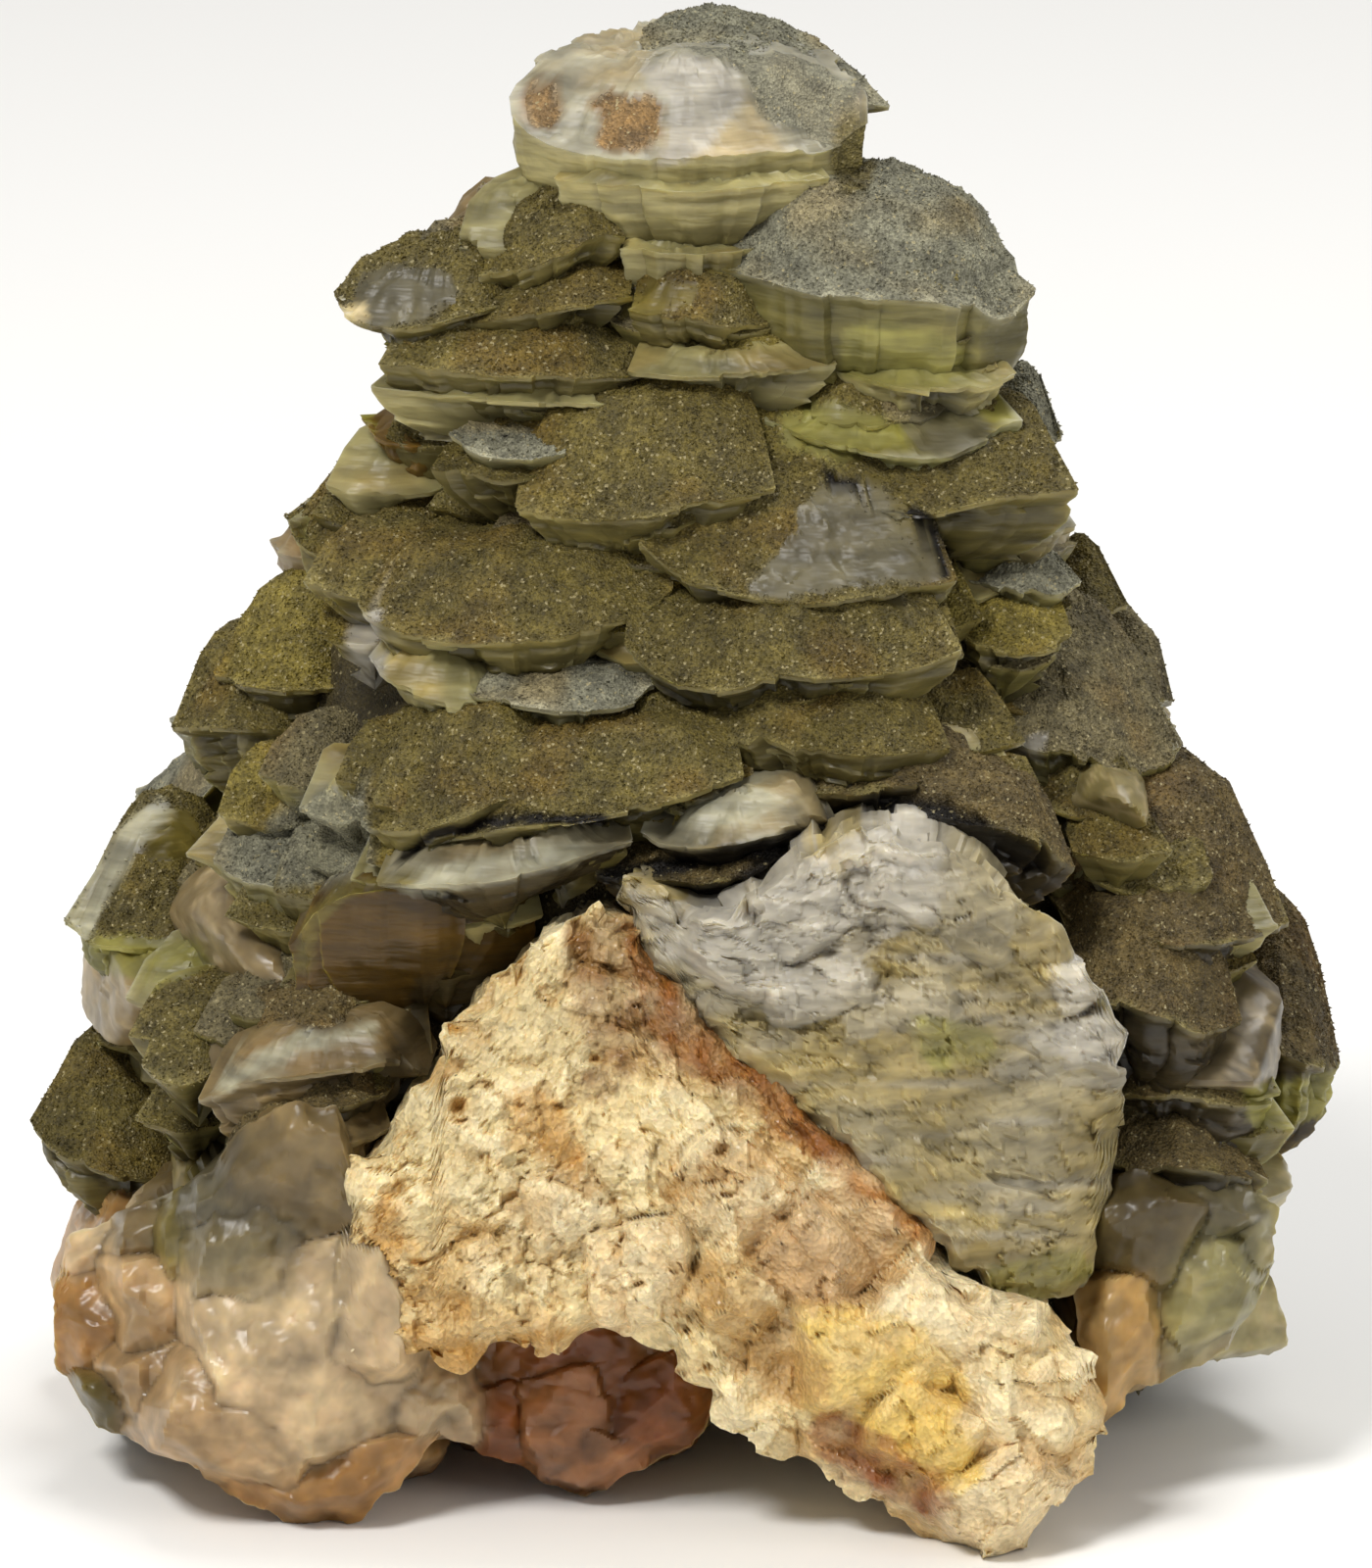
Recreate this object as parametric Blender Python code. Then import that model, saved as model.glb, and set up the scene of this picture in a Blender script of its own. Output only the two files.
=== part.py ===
"""Calcite with quartz: a mineral specimen, as a Blender script.

A tall stack of overlapping calcite plates grew around a core of sugary quartz. The stack is broken open
low on its front. A big cleaved calcite crystal closes the right side of that break.

Tables are in millimetres. The objects are in metres, with +Z up and the broken front toward -Y. Most
crystals are written down as they appear from in front, by someone who looks down at them by LOOK_DOWN:
across to the right, up from the lowest point, and out toward that person. seen() turns such a place into
x, y and z. The origin is under the middle of the specimen, MIDDLE_OUT toward that person from where out
is counted.
"""

import math
import random
from collections import namedtuple

import bmesh
import bpy
from mathutils import Vector

MM = 0.001
LOOK_DOWN = math.radians(15)
FOOT_OUT = 44.0
MIDDLE_OUT = 2.7
TRUNK_AXIS = Vector((0.0, 6.0))
CONTACT_GAP = 0.4
SEED = 7

# A plate: its visible lip from left to right, how far out the middle of the lip stands, how far the ends of
# the lip curl back, how high its top climbs behind the lip, and how thick it is at the lip.
Plate = namedtuple("Plate", "name out curl rise drop lip")
# A lump: a blocky crystal by the middle of its front and its size across, in depth and in height.
Lump = namedtuple("Lump", "name across up out wide deep high turn")
# A section of the buried trunk that carries the plates: how far out its front and its back stand.
Section = namedtuple("Section", "z half_width front back")
# A row of plates around the sides and the back.
Row = namedtuple("Row", "z half_width back count drop")

REACH = 0.62
BACK_ARC = (0.3, 0.7)
UNDERCUT = 1.2

SUMMIT_PLATES = (
    Plate("summit_back", 2, 3, 3.0, 6.0, ((-3, 108), (0, 107.5), (5, 107), (10.5, 105), (14.3, 104.5))),
    Plate("summit", 9, 5, 3.5, 4.0,
          ((-12.5, 104), (-11, 102), (-7, 100.5), (-0.5, 100), (4, 101), (10.5, 101), (12, 103))),
    Plate("summit_left", 7, 2, 1.5, 3.0, ((-12.5, 104.5), (-12, 103), (-10, 103), (-9, 105.5))),
    Plate("neck_upper", 8, 4, 1.0, 3.0, ((-11, 98.5), (-7, 97.5), (0, 97), (7, 97.5), (12.5, 98))),
    Plate("neck_lower", 9, 3, 1.0, 5.0, ((-7, 96), (-3.5, 95), (0, 94.5), (4, 95.5))),
)

UPPER_PLATES = (
    Plate("upper_left_top", 12, 4, 4.5, 2.0,
          ((-16.5, 95), (-16, 92), (-12.5, 92), (-9.5, 93), (-6.5, 94.5), (-4, 95))),
    Plate("upper_left", 13, 4, 4.5, 2.5,
          ((-25.5, 91), (-24.5, 89), (-22, 88), (-19.5, 88), (-16, 89), (-11, 90.5))),
    Plate("upper_left_shelf", 14, 3, 2.0, 1.5, ((-16, 88.5), (-11, 89), (-6.5, 90), (-3.5, 90.5))),
    Plate("upper_left_low", 16, 3, 3.0, 2.0,
          ((-22, 85.5), (-17.5, 85), (-14, 84.5), (-10, 84.5), (-5.5, 84.5), (-2.5, 85))),
    Plate("upper_middle", 15, 3, 3.0, 2.0, ((-4, 89.5), (-0.5, 88.5), (3, 88), (6.5, 88.5))),
    Plate("upper_middle_low", 17, 3, 2.0, 2.0, ((-4, 85), (0, 84.5), (5.5, 84.5), (10.5, 85.5))),
    Plate("upper_right_slab", 16, 6, 6.5, 6.0,
          ((2.5, 92.5), (7, 91), (11, 90), (17, 90), (20.5, 89.5), (23, 88.5), (25, 91))),
    Plate("upper_right_under", 17, 4, 1.5, 2.5, ((10.5, 85), (16, 83.5), (21, 83.5), (24, 85))),
    Plate("upper_right_green", 18, 4, 2.5, 2.0,
          ((6, 81.5), (9, 80), (14, 79), (18, 78.5), (21.5, 80), (24, 81.5))),
    Plate("upper_right_end", 8, 3, 4.0, 2.0, ((22.5, 80.5), (25, 80), (27.3, 80.5), (27, 81.5))),
)

MIDDLE_PLATES = (
    Plate("amber_bump", 12, 3, 1.5, 3.0, ((-23.5, 82), (-22, 80), (-19, 79.5), (-16, 80.5))),
    Plate("thin_upper", 16, 3, 1.5, 1.5, ((-22.5, 84), (-15.5, 83), (-7, 82.5), (0, 83), (5, 83.5))),
    Plate("oval_plate", 19, 3, 1.5, 1.2, ((-17, 80.5), (-15.5, 79), (-12, 78.5), (-8.5, 79), (-6, 80))),
    Plate("thin_lower", 19, 3, 2.0, 1.5, ((-18, 78), (-14, 77), (-10, 77.5), (-7, 78.5))),
    Plate("centre_top", 23, 5, 8.0, 1.5,
          ((-12.5, 75), (-10, 74.5), (-5.5, 74), (-1.5, 74.5), (2.5, 75.5), (6.5, 76.5))),
    Plate("right_top", 20, 5, 6.0, 2.5, ((4, 76.5), (10.5, 75), (17, 74.5), (22.5, 76), (27.8, 76.5))),
    Plate("left_plate", 14, 5, 6.0, 2.5,
          ((-28.8, 75), (-28, 72.5), (-25, 71.5), (-20.5, 72), (-16.5, 72), (-13, 73.5))),
    Plate("middle_left", 26, 5, 6.0, 2.0,
          ((-23.5, 68.5), (-22.5, 67), (-18, 65.5), (-14.5, 65.5), (-10, 65.5), (-6.5, 66.5), (-3, 67.5), (-0.5, 69.5))),
    Plate("window_plate", 26, 6, 9.0, 1.5,
          ((-3, 72.5), (-0.5, 70), (3, 69), (6.5, 68), (11, 68.5), (16, 69), (19.5, 70))),
    Plate("right_chip", 17, 3, 3.0, 1.5, ((20, 73.5), (23, 73), (26.5, 73), (28, 74))),
    Plate("right_middle_upper", 17, 3, 2.5, 2.0, ((20.5, 70), (24, 69), (27, 69), (28.3, 70))),
    Plate("right_middle_lower", 20, 3, 3.0, 2.5, ((20, 66), (23, 64.5), (26.5, 65), (28, 66.5))),
    Plate("right_far_upper", 4, 3, 5.0, 2.0, ((27.5, 68.5), (30, 67.5), (31.9, 68.5))),
)

LOWER_PLATES = (
    Plate("left_golden", 12, 5, 7.5, 1.5, ((-34, 63.5), (-32, 62.5), (-28, 62), (-24.5, 62.5), (-22, 63))),
    Plate("middle_side", 27, 4, 3.0, 2.0, ((-22.5, 64.5), (-21.5, 62.5), (-18, 61), (-14, 60.5), (-10, 61))),
    Plate("silver_strip", 29, 4, 2.0, 3.0, ((-15.5, 62), (-12.5, 61), (-8.5, 60.5), (-4, 61), (-2.5, 62.5))),
    Plate("middle_right", 30, 5, 6.0, 2.0,
          ((-4.5, 65.5), (-3, 63.5), (0.5, 62), (3, 62), (6.5, 63), (12, 63), (16.5, 63.5), (19.5, 65))),
    Plate("middle_right_low", 32, 4, 4.0, 2.0, ((2, 58.5), (5, 58), (9, 57.5), (14, 57.5), (18.5, 58))),
    Plate("right_big", 20, 7, 9.0, 3.0,
          ((19, 61.5), (21, 59.5), (24.5, 58), (28.5, 57), (32, 56), (34.5, 56.5), (36, 58.5))),
    Plate("right_far_lower", 4, 4, 6.0, 3.0, ((30, 63), (34, 61.5), (36, 61.5))),
    Plate("left_low", 12, 5, 3.5, 4.0, ((-37.5, 59.5), (-34.5, 59.5), (-31, 59.5), (-26, 59), (-22.5, 59.5))),
    Plate("left_round", 34, 5, 6.5, 1.5,
          ((-24, 55), (-23, 52.5), (-20.5, 52), (-17.5, 52.5), (-13.5, 54), (-10.5, 55), (-9, 56))),
    Plate("left_low_front", 26, 4, 7.0, 2.5, ((-34, 50), (-32, 48.5), (-28.5, 48), (-25, 48.5), (-21.5, 50))),
    Plate("left_far", 14, 6, 9.0, 3.0, ((-45, 45.5), (-43.5, 44), (-40, 43.5), (-36.5, 43.5), (-32.5, 44.5))),
    Plate("middle_band", 35, 4, 5.0, 1.0,
          ((-21, 50), (-17.5, 51.5), (-12.5, 52.5), (-7, 53), (-1.5, 54), (4, 56))),
    Plate("white_strip", 38, 4, 3.0, 1.5, ((-22, 48.5), (-19, 48.5), (-14, 48.5), (-10, 49.5), (-4, 51.5))),
    Plate("middle_clear", 36, 4, 4.5, 1.2, ((-3, 52), (-1.5, 51), (3, 51), (7, 52), (10.5, 52.5))),
    Plate("middle_dark", 36, 3, 1.5, 1.5, ((-6.5, 49), (-2, 48.5), (2, 48), (6.5, 50), (10.5, 51))),
    Plate("rough_upper", 34, 4, 3.0, 1.5, ((6.5, 55.5), (11, 54.5), (16, 55.5), (21, 56))),
    Plate("rough_lower", 36, 4, 3.0, 1.5, ((12.5, 53.5), (18, 53), (24, 52), (27.5, 49.5))),
    Plate("right_low_upper", 27, 8, 10.0, 2.0,
          ((25, 48.5), (28, 45), (31.5, 44.5), (35.5, 44), (39, 44), (43.5, 45.5))),
    Plate("right_low_front", 32, 6, 6.5, 3.0, ((26.5, 42), (30, 39.5), (33.5, 39), (37, 37.5), (40, 38.5))),
    Plate("right_far", 18, 8, 8.0, 4.0, ((40, 38), (42.5, 36), (45.5, 35), (48, 34.5))),
    Plate("right_under_upper", 30, 5, 3.0, 3.0, ((30, 33.5), (34, 33), (38.5, 32.5), (42, 32.5))),
    Plate("right_under_lower", 31, 5, 3.0, 2.5, ((28.5, 31), (30, 28.5), (32, 27.5), (36.5, 28), (41.5, 27))),
    Plate("resin_dome", 33, 4, 1.5, 6.5, ((-28, 44), (-26.5, 46.5), (-22.5, 48), (-17, 48), (-10, 48.5))),
    Plate("left_far_low", 16, 6, 8.5, 2.5, ((-48, 31), (-46, 28.5), (-42, 27), (-38, 26.5), (-34.5, 27.5))),
    Plate("left_stack_upper", 34, 4, 4.0, 2.5, ((-32.5, 35), (-30.5, 35.5), (-26, 36.5), (-21.5, 38))),
    Plate("left_stack_middle", 36, 4, 2.5, 5.0,
          ((-34.5, 33), (-31, 34.5), (-25, 35), (-20.5, 36), (-18, 34.5))),
    Plate("left_stack_lower", 38, 4, 2.5, 4.0, ((-32, 25), (-28.5, 27.5), (-25, 29.5), (-21, 31))),
)

LUMPS = (
    Lump("neck", 0.5, 95, 7, 9, 10, 14, 0),
    Lump("right_pillar", 23, 69, 16, 10, 18, 16, 10),
    Lump("right_hanging", 27.5, 52.5, 30, 8, 22, 8, 10),
    Lump("right_dark", 35, 34, 29, 14, 26, 11, 20),
    Lump("right_knob_upper", 36.5, 23.5, 22, 13, 28, 9, 15),
    Lump("right_knob_lower", 35, 15.5, 20, 12, 26, 10, 30),
    Lump("right_nook", 31, 16, 29, 9, 30, 11, 0),
    Lump("left_shoulder", -33, 42, 29, 12, 22, 13, 10),
    Lump("left_shoulder_far", -39, 38.5, 18, 9, 18, 8, 20),
    Lump("left_inner", -32, 34, 28, 14, 26, 15, 0),
    Lump("left_brown_knob", -34.5, 24, 30, 6, 26, 9, 0),
    Lump("left_peach_upper", -41.5, 23, 20, 7, 16, 7, 0),
    Lump("left_peach_side", -39.5, 15.5, 22, 12, 24, 13, 15),
    Lump("left_green_foot", -40.5, 10.5, 22, 5, 18, 6, 0),
    Lump("left_peach_big", -29.5, 14, 37, 14, 34, 18, 8),
    Lump("left_peach_foot", -25, 5.5, 36, 18, 34, 8, 0),
    Lump("left_peach_inner", -19.5, 10.5, 37, 9, 34, 7, 0),
)

TRUNK = (
    Section(0, 37, 8, -33),
    Section(12, 40, 20, -35),
    Section(30, 39, 31, -33),
    Section(50, 32, 28, -27),
    Section(66, 24, 18, -21),
    Section(80, 17, 8, -14),
    Section(90, 8, 4, -8),
)

CAVITY_WALL = ((-16.5, 8.5, 13), (-12, 6, 22), (-7, 4, 28.6), (-2, 6.5, 24), (3, 9.6, 11),
               (-16, 17, 30), (-7, 16, 34), (4, 16, 30), (-7, 14, 0))

SIDE_ROWS = (
    Row(7, 41, 35, 7, 6.0),
    Row(17, 42.5, 38, 7, 6.0),
    Row(27, 44, 38, 7, 5.5),
    Row(37, 43, 35, 7, 5.5),
    Row(47, 39, 31, 6, 5.5),
    Row(57, 33.5, 27, 6, 5.0),
    Row(66, 29, 24, 5, 4.5),
    Row(75, 24.5, 19, 5, 4.5),
    Row(84, 21, 14, 4, 4.0),
)
SIDE_START = math.radians(66)
SIDE_RISE = 6.5
SIDE_LIP_STEPS = (-1.0, -0.3, 0.35, 1.0)

QUARTZ_MAIN = ((-7, 47, 35), (-13, 42, 37), (-17, 38, 37), (-18, 33, 38), (-24, 28, 38), (-25, 21, 39),
               (-24.5, 13.5, 39), (-17.5, 14, 40), (-7, 16, 40), (0, 14.5, 41), (5, 16, 42),
               (12, 27, 42), (6, 34, 40), (-3, 45, 36))
QUARTZ_FOOT = ((-4, 17, 41), (3, 9.5, 42), (11, 5.5, 43), (19.2, 0, 44), (21.5, 0, 43.5), (24, 1.3, 42), (29.5, 7, 38),
               (30, 11, 36), (26, 18, 38), (21, 19, 40), (17, 23, 40), (10, 30, 41))
QUARTZ_BACK = 14.0
FOOT_BACK = 20.0

CLEAVED_FRONT = ((-5, 48, 37), (-3, 44, 38), (0, 39.5, 40), (5.5, 35, 41), (11, 29.5, 41.5), (17, 23, 42),
                 (22, 18.5, 40), (26.5, 18.5, 36.5), (30.5, 26.5, 31), (29, 32.5, 32), (31.5, 37, 29.5),
                 (29, 42.5, 30), (24.5, 47, 32), (18, 51, 35), (14, 52.5, 37), (10.5, 51, 39), (3, 46.5, 39))
CLEAVED_BACK = 20.0

MATERIALS = {
    "calcite_plates": ((0.17, 0.14, 0.06), 0.55),
    "quartz_core": ((0.72, 0.52, 0.27), 0.6),
    "cleaved_calcite": ((0.45, 0.42, 0.33), 0.3),
}


def seen(across, up, out):
    """The place, in millimetres, of a point given as it appears from in front."""
    z = (up + (out - FOOT_OUT) * math.sin(LOOK_DOWN)) / math.cos(LOOK_DOWN)
    return Vector((across, MIDDLE_OUT - out, max(z, 0.0)))


def clear_scene():
    for item in list(bpy.data.objects):
        bpy.data.objects.remove(item)


def make_collection(name):
    collection = bpy.data.collections.new(name)
    bpy.context.scene.collection.children.link(collection)
    return collection


def make_material(name):
    color, roughness = MATERIALS[name]
    material = bpy.data.materials.new(name)
    material.use_nodes = True
    shader = material.node_tree.nodes["Principled BSDF"]
    shader.inputs["Base Color"].default_value = (*color, 1.0)
    shader.inputs["Roughness"].default_value = roughness
    shader.inputs["Metallic"].default_value = 0.0
    return material


def hull(name, points, collection):
    """A closed crystal: the convex hull of points in millimetres."""
    mesh = bpy.data.meshes.new(name)
    body = bmesh.new()
    for point in points:
        body.verts.new(point * MM)
    result = bmesh.ops.convex_hull(body, input=body.verts)
    loose = [item for item in result["geom_interior"] if isinstance(item, bmesh.types.BMVert)]
    bmesh.ops.delete(body, geom=loose, context="VERTS")
    bmesh.ops.recalc_face_normals(body, faces=body.faces)
    body.to_mesh(mesh)
    body.free()
    crystal = bpy.data.objects.new(name, mesh)
    collection.objects.link(crystal)
    return crystal


def inward(point):
    """The level direction from a point to the axis of the trunk."""
    across = Vector((TRUNK_AXIS.x - point.x, TRUNK_AXIS.y - point.y, 0.0))
    return across.normalized()


def plate_points(lip, rise, drop):
    """The corners of a plate: its lip, a buried back edge, the same again below, and the peak of its top."""
    left, right = lip[0], lip[-1]
    width = (right - left).length
    middle = sum(lip, Vector()) / len(lip)
    behind = inward(middle)
    reach = max(REACH * width, 8.0)
    edge = list(lip)
    for part in BACK_ARC:
        bow = math.sin(math.pi * part)
        edge.append(right.lerp(left, part) + behind * reach * bow + Vector((0, 0, rise * 0.6 * bow)))
    peak = middle + behind * reach * 0.5 + Vector((0, 0, rise))
    below = []
    for point in edge:
        toward = (middle + behind * reach * 0.4) - point
        toward.z = 0.0
        step = toward.normalized() * min(UNDERCUT, toward.length * 0.5)
        low = point + step - Vector((0, 0, drop))
        low.z = max(low.z, 0.0)
        below.append(low)
    return edge + below + [peak]


def front_plate(plate, collection):
    lip = []
    start, end = plate.lip[0][0], plate.lip[-1][0]
    for across, up in plate.lip:
        side = 2.0 * (across - start) / (end - start) - 1.0
        lip.append(seen(across, up, plate.out - plate.curl * side * side))
    return hull(plate.name, plate_points(lip, plate.rise, plate.drop), collection)


def side_plates(rows, collection):
    """Rows of plates around the sides and the back, each a little different."""
    chance = random.Random(SEED)
    plates = []
    for level, row in enumerate(rows):
        sweep = 2.0 * (math.pi - SIDE_START)
        for place in range(row.count):
            share = (place + 0.5 + chance.uniform(-0.15, 0.15)) / row.count
            angle = SIDE_START + sweep * share
            size = chance.uniform(0.92, 1.04)
            half = 0.5 * sweep / row.count * chance.uniform(1.15, 1.4)
            z = row.z + chance.uniform(-2.0, 2.0)
            lip = []
            for step in SIDE_LIP_STEPS:
                turn = angle + half * step
                bulge = size * (1.0 - 0.06 * step * step)
                x = -row.half_width * math.sin(turn) * bulge
                y = MIDDLE_OUT - row.back * math.cos(turn) * bulge
                lip.append(Vector((x, y, z + chance.uniform(-0.6, 0.6))))
            points = plate_points(lip, SIDE_RISE * chance.uniform(0.8, 1.1), row.drop)
            plates.append(hull(f"side_{level}_{place}", points, collection))
    return plates


def lump(spec, collection):
    """A blocky crystal: a coarse ball pulled to its size, cut flat where it would pass under the base."""
    ball = bmesh.new()
    bmesh.ops.create_icosphere(ball, subdivisions=1, radius=0.5)
    middle = seen(spec.across, spec.up, spec.out)
    middle.y += spec.deep / 2
    turn = math.radians(spec.turn)
    points = []
    for corner in ball.verts:
        x = corner.co.x * spec.wide
        y = corner.co.y * spec.deep
        point = Vector((
            middle.x + x * math.cos(turn) - y * math.sin(turn),
            middle.y + x * math.sin(turn) + y * math.cos(turn),
            max(middle.z + corner.co.z * spec.high, 0.0),
        ))
        points.append(point)
    ball.free()
    return hull(spec.name, points, collection)


def trunk(collection):
    points = []
    for section in TRUNK:
        depth = (section.front - section.back) / 2
        middle = MIDDLE_OUT - (section.front + section.back) / 2
        for step in range(12):
            angle = math.tau * step / 12
            points.append(Vector((
                section.half_width * math.cos(angle),
                middle + depth * math.sin(angle),
                section.z,
            )))
    return hull("trunk", points, collection)


def faced_block(name, front, back, collection):
    """A solid between a front outline, given as it is seen, and the same outline pushed back to a depth."""
    points = [seen(*corner) for corner in front]
    points += [Vector((point.x * 0.9, MIDDLE_OUT - back, point.z)) for point in points]
    return hull(name, points, collection)


def boolean(target, operation, other):
    cut = target.modifiers.new(operation.title(), "BOOLEAN")
    cut.operation = operation
    cut.solver = "EXACT"
    if isinstance(other, bpy.types.Collection):
        cut.operand_type = "COLLECTION"
        cut.collection = other
    else:
        cut.object = other


def swollen_copy(source, collection):
    """A cutter: a copy of a solid, larger by the gap that touching solids keep."""
    cutter = source.copy()
    cutter.data = source.data.copy()
    cutter.name = source.name + "_pocket"
    swell = cutter.modifiers.new("Gap", "DISPLACE")
    swell.strength = CONTACT_GAP * MM
    swell.mid_level = 0.0
    collection.objects.link(cutter)
    return cutter


def hide_cutters(*collections):
    for collection in collections:
        for cutter in collection.objects:
            cutter.hide_render = True
            cutter.display_type = "WIRE"


def main():
    clear_scene()
    specimen = make_collection("calcite_with_quartz")
    grown = make_collection("grown_together")
    pockets = make_collection("pockets")

    body = trunk(specimen)
    body.name = "calcite_plates"
    for plate in SUMMIT_PLATES + UPPER_PLATES + MIDDLE_PLATES + LOWER_PLATES:
        front_plate(plate, grown)
    for spec in LUMPS:
        lump(spec, grown)
    side_plates(SIDE_ROWS, grown)
    hull("cavity_wall", [seen(*corner) for corner in CAVITY_WALL], grown)

    quartz = faced_block("quartz_core", QUARTZ_MAIN, QUARTZ_BACK, specimen)
    foot = faced_block("quartz_foot", QUARTZ_FOOT, FOOT_BACK, pockets)
    cleaved = faced_block("cleaved_calcite", CLEAVED_FRONT, CLEAVED_BACK, specimen)
    cleaved_pocket = swollen_copy(cleaved, pockets)
    quartz_pocket = swollen_copy(quartz, pockets)
    foot_pocket = swollen_copy(foot, pockets)

    boolean(body, "UNION", grown)
    boolean(body, "DIFFERENCE", quartz_pocket)
    boolean(body, "DIFFERENCE", foot_pocket)
    boolean(body, "DIFFERENCE", cleaved_pocket)
    boolean(quartz, "UNION", foot)
    boolean(quartz, "DIFFERENCE", cleaved_pocket)

    for solid in specimen.objects:
        solid.data.materials.append(make_material(solid.name))
    hide_cutters(grown, pockets)


main()
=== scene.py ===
"""The finish of a mineral specimen: calcite plates with a drusy coat over a core of sugary quartz.

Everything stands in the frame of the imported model. Tables are in millimetres, written as the crystals
appear from in front to someone who looks down at them by LOOK_DOWN: across to the right, up from the
lowest point, and out toward that person. seen() turns such a place into x, y and z.
"""

import math
from collections import namedtuple

import bpy
import numpy as np
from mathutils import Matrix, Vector
from mathutils.bvhtree import BVHTree


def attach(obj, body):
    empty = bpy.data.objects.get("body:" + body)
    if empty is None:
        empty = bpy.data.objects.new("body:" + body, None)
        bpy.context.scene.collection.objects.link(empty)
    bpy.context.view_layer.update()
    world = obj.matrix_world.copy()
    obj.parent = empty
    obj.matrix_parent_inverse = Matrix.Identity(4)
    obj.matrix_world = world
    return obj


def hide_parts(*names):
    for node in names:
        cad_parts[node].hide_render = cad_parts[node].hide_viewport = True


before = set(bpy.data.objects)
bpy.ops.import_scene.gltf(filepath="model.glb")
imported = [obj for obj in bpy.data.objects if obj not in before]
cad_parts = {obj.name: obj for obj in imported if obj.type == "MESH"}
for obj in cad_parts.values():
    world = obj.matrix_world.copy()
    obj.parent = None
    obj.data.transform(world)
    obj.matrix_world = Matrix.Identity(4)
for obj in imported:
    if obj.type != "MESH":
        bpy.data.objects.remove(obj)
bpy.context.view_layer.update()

# A millimetre in metres.
MM = 0.001
# How steeply someone in front looks down at the specimen.
LOOK_DOWN = math.radians(15)
# How far out the front of the foot stands: there, an up of zero lies on the floor.
FOOT_OUT = 44.0
# How far out the middle of the specimen stands, where y is zero.
MIDDLE_OUT = 2.7
# The axis of the trunk, which the plates reach back to.
TRUNK_AXIS = np.array((0.0, 6.0, 0.0))

# -------------------------------- colours, as a screen shows them

COLOURS = {
    # Plates with druse on them: tops, lips and sides. A lighter lip is a painted highlight on the edge.
    # The dark olive of the trunk is darker than the druse so that gaps read dark: painted shade.
    "olive": (93, 82, 36), "olive_in_shade": (64, 55, 27), "olive_lip": (134, 123, 74),
    # The silver top colour is grey druse carrying a painted sheen.
    "olive_side": (110, 100, 54), "silver": (120, 118, 99), "silver_lip": (176, 172, 146),
    "silver_side": (120, 112, 62), "gold": (118, 105, 44), "grey_brown": (102, 93, 64),
    # The dark brown side colour is partly the side's own colour and partly painted shade under the lips.
    "brown": (90, 76, 42), "brown_side_in_shade": (62, 52, 30),
    # Plates and patches of bare calcite.
    "grey_violet": (103, 97, 74), "grey_side": (122, 111, 72), "white": (181, 175, 161),
    "yellow_green": (138, 132, 62), "green_side": (138, 134, 74), "glow_green": (146, 140, 76),
    "pale": (146, 138, 92), "pale_side": (156, 146, 98), "frost": (158, 153, 132),
    "sliver": (132, 126, 103), "amber": (112, 86, 30), "resin": (80, 58, 10), "rust": (128, 92, 36),
    # The clear crystals of the base.
    "peach": (208, 182, 142), "peach_deep": (172, 126, 66), "peach_grey": (186, 154, 110),
    "red_brown": (132, 70, 20), "red_light": (176, 122, 78), "tan": (136, 122, 84),
    "smoky": (126, 107, 70), "honey": (176, 140, 82),
    # The quartz core. Its lightest colour is a painted highlight on raised grains.
    "cream": (216, 196, 146), "orange": (182, 134, 58), "orange_deep": (168, 112, 48),
    "orange_brown": (134, 80, 22), "quartz_brown": (116, 76, 24), "quartz_yellow": (212, 180, 96),
    "quartz_pale": (216, 195, 152), "quartz_highlight": (236, 221, 180),
    # The cleaved crystal, and the near black of an open crack, which is painted shade.
    "cleavage": (164, 147, 98), "cleavage_grey": (162, 151, 120), "crack": (22, 18, 12),
}

# Each tone of plate: the colour of its top, of its lip and of its side, and whether druse coats the top.
# A lip colour lighter than its top is a painted highlight along the edge.
Tone = namedtuple("Tone", "top lip side coated")
TONES = {
    "olive": Tone("olive", "olive_lip", "olive_side", True),
    # The silver tone's top carries a painted sheen.
    "silver": Tone("silver", "silver_lip", "silver_side", True),
    "bare": Tone("grey_violet", "silver_lip", "grey_side", False),
    "green": Tone("yellow_green", "silver_lip", "green_side", False),
    "gold": Tone("gold", "olive_lip", "olive_side", True),
    "amber": Tone("amber", "amber", "amber", False),
    "pale": Tone("pale", "pale_side", "pale_side", False),
    "grey": Tone("grey_brown", "olive_lip", "silver_side", True),
    # The brown and the sliver tones have dark sides, partly painted shade.
    "brown": Tone("brown", "olive_lip", "brown_side_in_shade", True),
    "resin": Tone("resin", "resin", "resin", False),
    "rimmed": Tone("olive", "yellow_green", "green_side", True),
    "smoky": Tone("smoky", "silver_lip", "smoky", False),
    "sliver": Tone("sliver", "silver_lip", "brown_side_in_shade", False),
    "frosted": Tone("frost", "silver_lip", "pale_side", False),
}

# -------------------------------- the crystals

# A plate: how far out the middle of its lip stands, how far the ends of the lip curl back, how high its
# top climbs behind the lip, how thick it is at the lip, and the visible lip from left to right.
Plate = namedtuple("Plate", "name tone out curl rise drop lip")
# A lump: a blocky crystal by the middle of its front, its size across, in depth and in height, and how many
# degrees it is turned.
Lump = namedtuple("Lump", "name colour across up out wide deep high turn")
# A section of the buried trunk that carries the plates: how far out its front and its back stand.
Section = namedtuple("Section", "z half_width front back")
# A row of plates around the sides and the back: its height, its reach sideways and to the back, how many
# plates it has and how thick they are.
Row = namedtuple("Row", "z half_width back count drop")

# How far back a plate reaches, as a share of its width.
REACH = 0.62

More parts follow.
